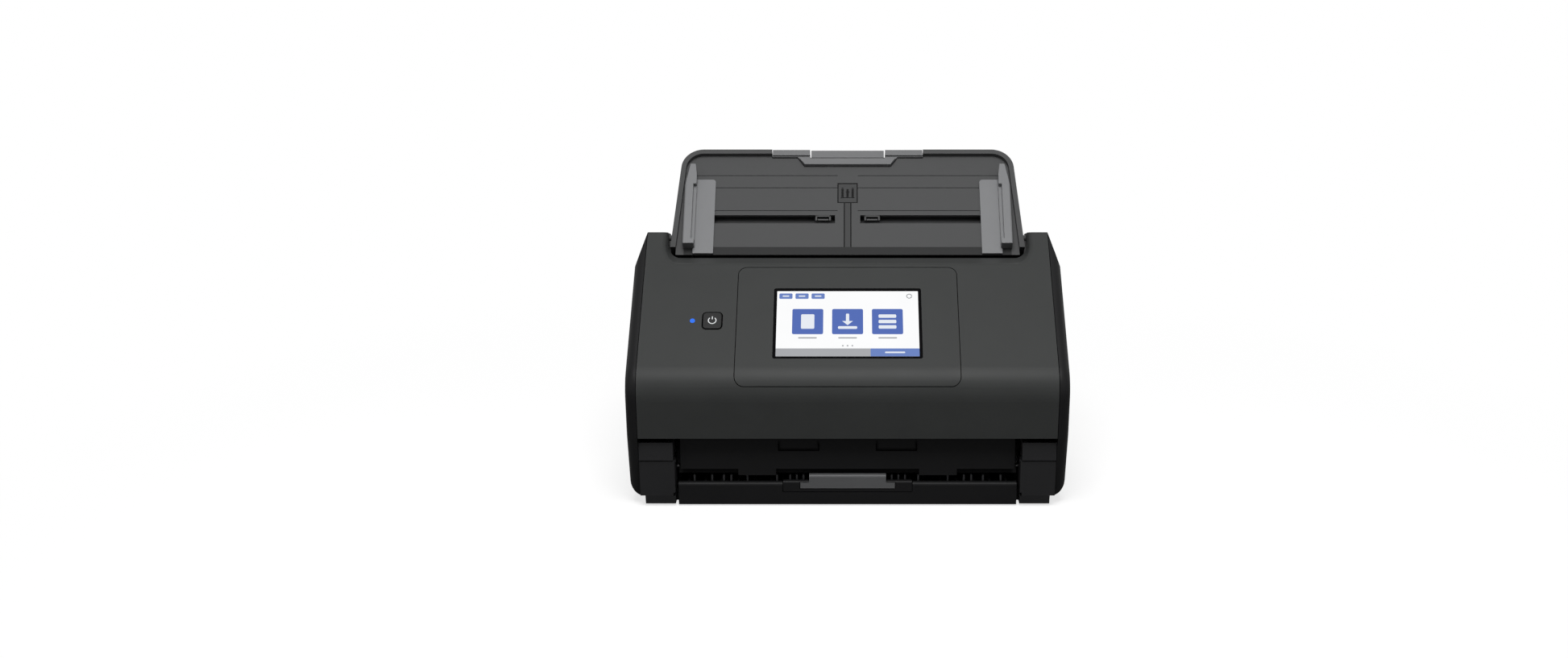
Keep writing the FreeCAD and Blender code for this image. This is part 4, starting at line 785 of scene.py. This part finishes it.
class SCANNER_OT_stage(bpy.types.Operator):
    """Set the floor, soft lights, white surroundings and the camera"""

    bl_idname = "scanner.stage"
    bl_label = "Stage"

    def execute(self, context):
        self.floor()
        self.world(context.scene)
        self.lights()
        self.camera(context.scene)
        context.scene.view_settings.view_transform = "Standard"
        return {"FINISHED"}

    def floor(self):
        sheet = bmesh.new()
        bmesh.ops.create_grid(sheet, x_segments=1, y_segments=1, size=FLOOR_SIZE)
        mesh = bpy.data.meshes.new("floor")
        sheet.to_mesh(mesh)
        sheet.free()
        floor = bpy.data.objects.new("floor", mesh)
        bpy.context.scene.collection.objects.link(floor)
        floor.location.z = -FLOOR_DROP
        material, tree = new_material("floor_pale")
        seen = tree.node("ShaderNodeLightPath", output=0)
        diffuse = tree.node("ShaderNodeBsdfDiffuse", Color=FLOOR_GREY)
        glow = tree.node("ShaderNodeEmission", Color=WHITE, Strength=FLOOR_GLOW)
        near = tree.node("ShaderNodeAddShader", i0=diffuse, i1=glow)
        far = tree.node("ShaderNodeEmission", Color=WHITE, Strength=1.0)
        place = object_place(tree)
        distance = tree.node("ShaderNodeVectorMath", output=1, settings={"operation": "LENGTH"}, i0=place)
        fade = {"From Min": FADE_START, "From Max": FADE_END}
        share = tree.node("ShaderNodeMapRange", Value=distance, **fade)
        shown = tree.node("ShaderNodeMixShader", i0=share, i1=near, i2=far)
        surface(tree, tree.node("ShaderNodeMixShader", i0=seen, i1=diffuse, i2=shown))
        mesh.materials.append(material)

    def world(self, scene):
        world = bpy.data.worlds.new("studio")
        world.use_nodes = True
        tree = Tree(world.node_tree)
        path = tree.tree.nodes.new("ShaderNodeLightPath")
        camera, glossy, through = (
            Wire(tree.tree, path.outputs[f"Is {name} Ray"]) for name in ("Camera", "Glossy", "Transmission")
        )
        seen = camera.maximum(glossy.maximum(through))
        soft = tree.node("ShaderNodeBackground", Color=WHITE, Strength=SKY_LIGHT)
        white = tree.node("ShaderNodeBackground", Color=WHITE, Strength=1.0)
        sky = tree.node("ShaderNodeMixShader", i0=seen, i1=soft, i2=white)
        tree.node("ShaderNodeOutputWorld", Surface=sky)
        scene.world = world

    def lights(self):
        for name, place, target, size, power in LIGHTS:
            lamp = bpy.data.lights.new(name, "AREA")
            lamp.energy = power
            lamp.size = size
            holder = bpy.data.objects.new(name, lamp)
            bpy.context.scene.collection.objects.link(holder)
            holder.location = place
            aim = Vector(target) - Vector(place)
            holder.rotation_euler = aim.to_track_quat("-Z", "Y").to_euler()

    def camera(self, scene):
        """Stands where the photo's perspective puts it, looking along +Y and down."""
        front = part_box("front_cover")[0][1]
        lens = bpy.data.cameras.new("camera")
        lens.sensor_width = SENSOR_WIDTH
        lens.lens = PHOTO_FOCAL / PHOTO_WIDTH * lens.sensor_width
        lens.shift_x = (PHOTO_WIDTH / 2 - PHOTO_CENTRE_X) / PHOTO_WIDTH
        holder = bpy.data.objects.new("camera", lens)
        scene.collection.objects.link(holder)
        holder.location = (0, front - CAMERA_BACK, CAMERA_HEIGHT)
        holder.rotation_euler = (CAMERA_TILT, 0, 0)
        scene.camera = holder


class SCANNER_PT_looks(bpy.types.Panel):
    """Sidebar with the scanner's steps"""

    bl_idname = "SCANNER_PT_looks"
    bl_label = "Scanner"
    bl_space_type = "VIEW_3D"
    bl_region_type = "UI"
    bl_category = "Scanner"

    def draw(self, context):
        for step in STEPS:
            self.layout.operator(step.bl_idname)


STEPS = (
    SCANNER_OT_casing,
    SCANNER_OT_trays,
    SCANNER_OT_inside,
    SCANNER_OT_screen,
    SCANNER_OT_keys,
    SCANNER_OT_fittings,
    SCANNER_OT_stage,
)
CLASSES = (ScannerColours, ScannerSizes, *STEPS, SCANNER_PT_looks)


def register():
    for cls in CLASSES:
        bpy.utils.register_class(cls)
    bpy.types.Scene.scanner_colours = PointerProperty(type=ScannerColours)
    bpy.types.Scene.scanner_sizes = PointerProperty(type=ScannerSizes)


def unregister():
    del bpy.types.Scene.scanner_colours
    del bpy.types.Scene.scanner_sizes
    for cls in reversed(CLASSES):
        bpy.utils.unregister_class(cls)


def main():
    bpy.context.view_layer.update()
    register()
    bpy.ops.scanner.casing()
    bpy.ops.scanner.trays()
    bpy.ops.scanner.inside()
    bpy.ops.scanner.screen()
    bpy.ops.scanner.keys()
    bpy.ops.scanner.fittings()
    bpy.ops.scanner.stage()


if __name__ == "__main__":
    main()
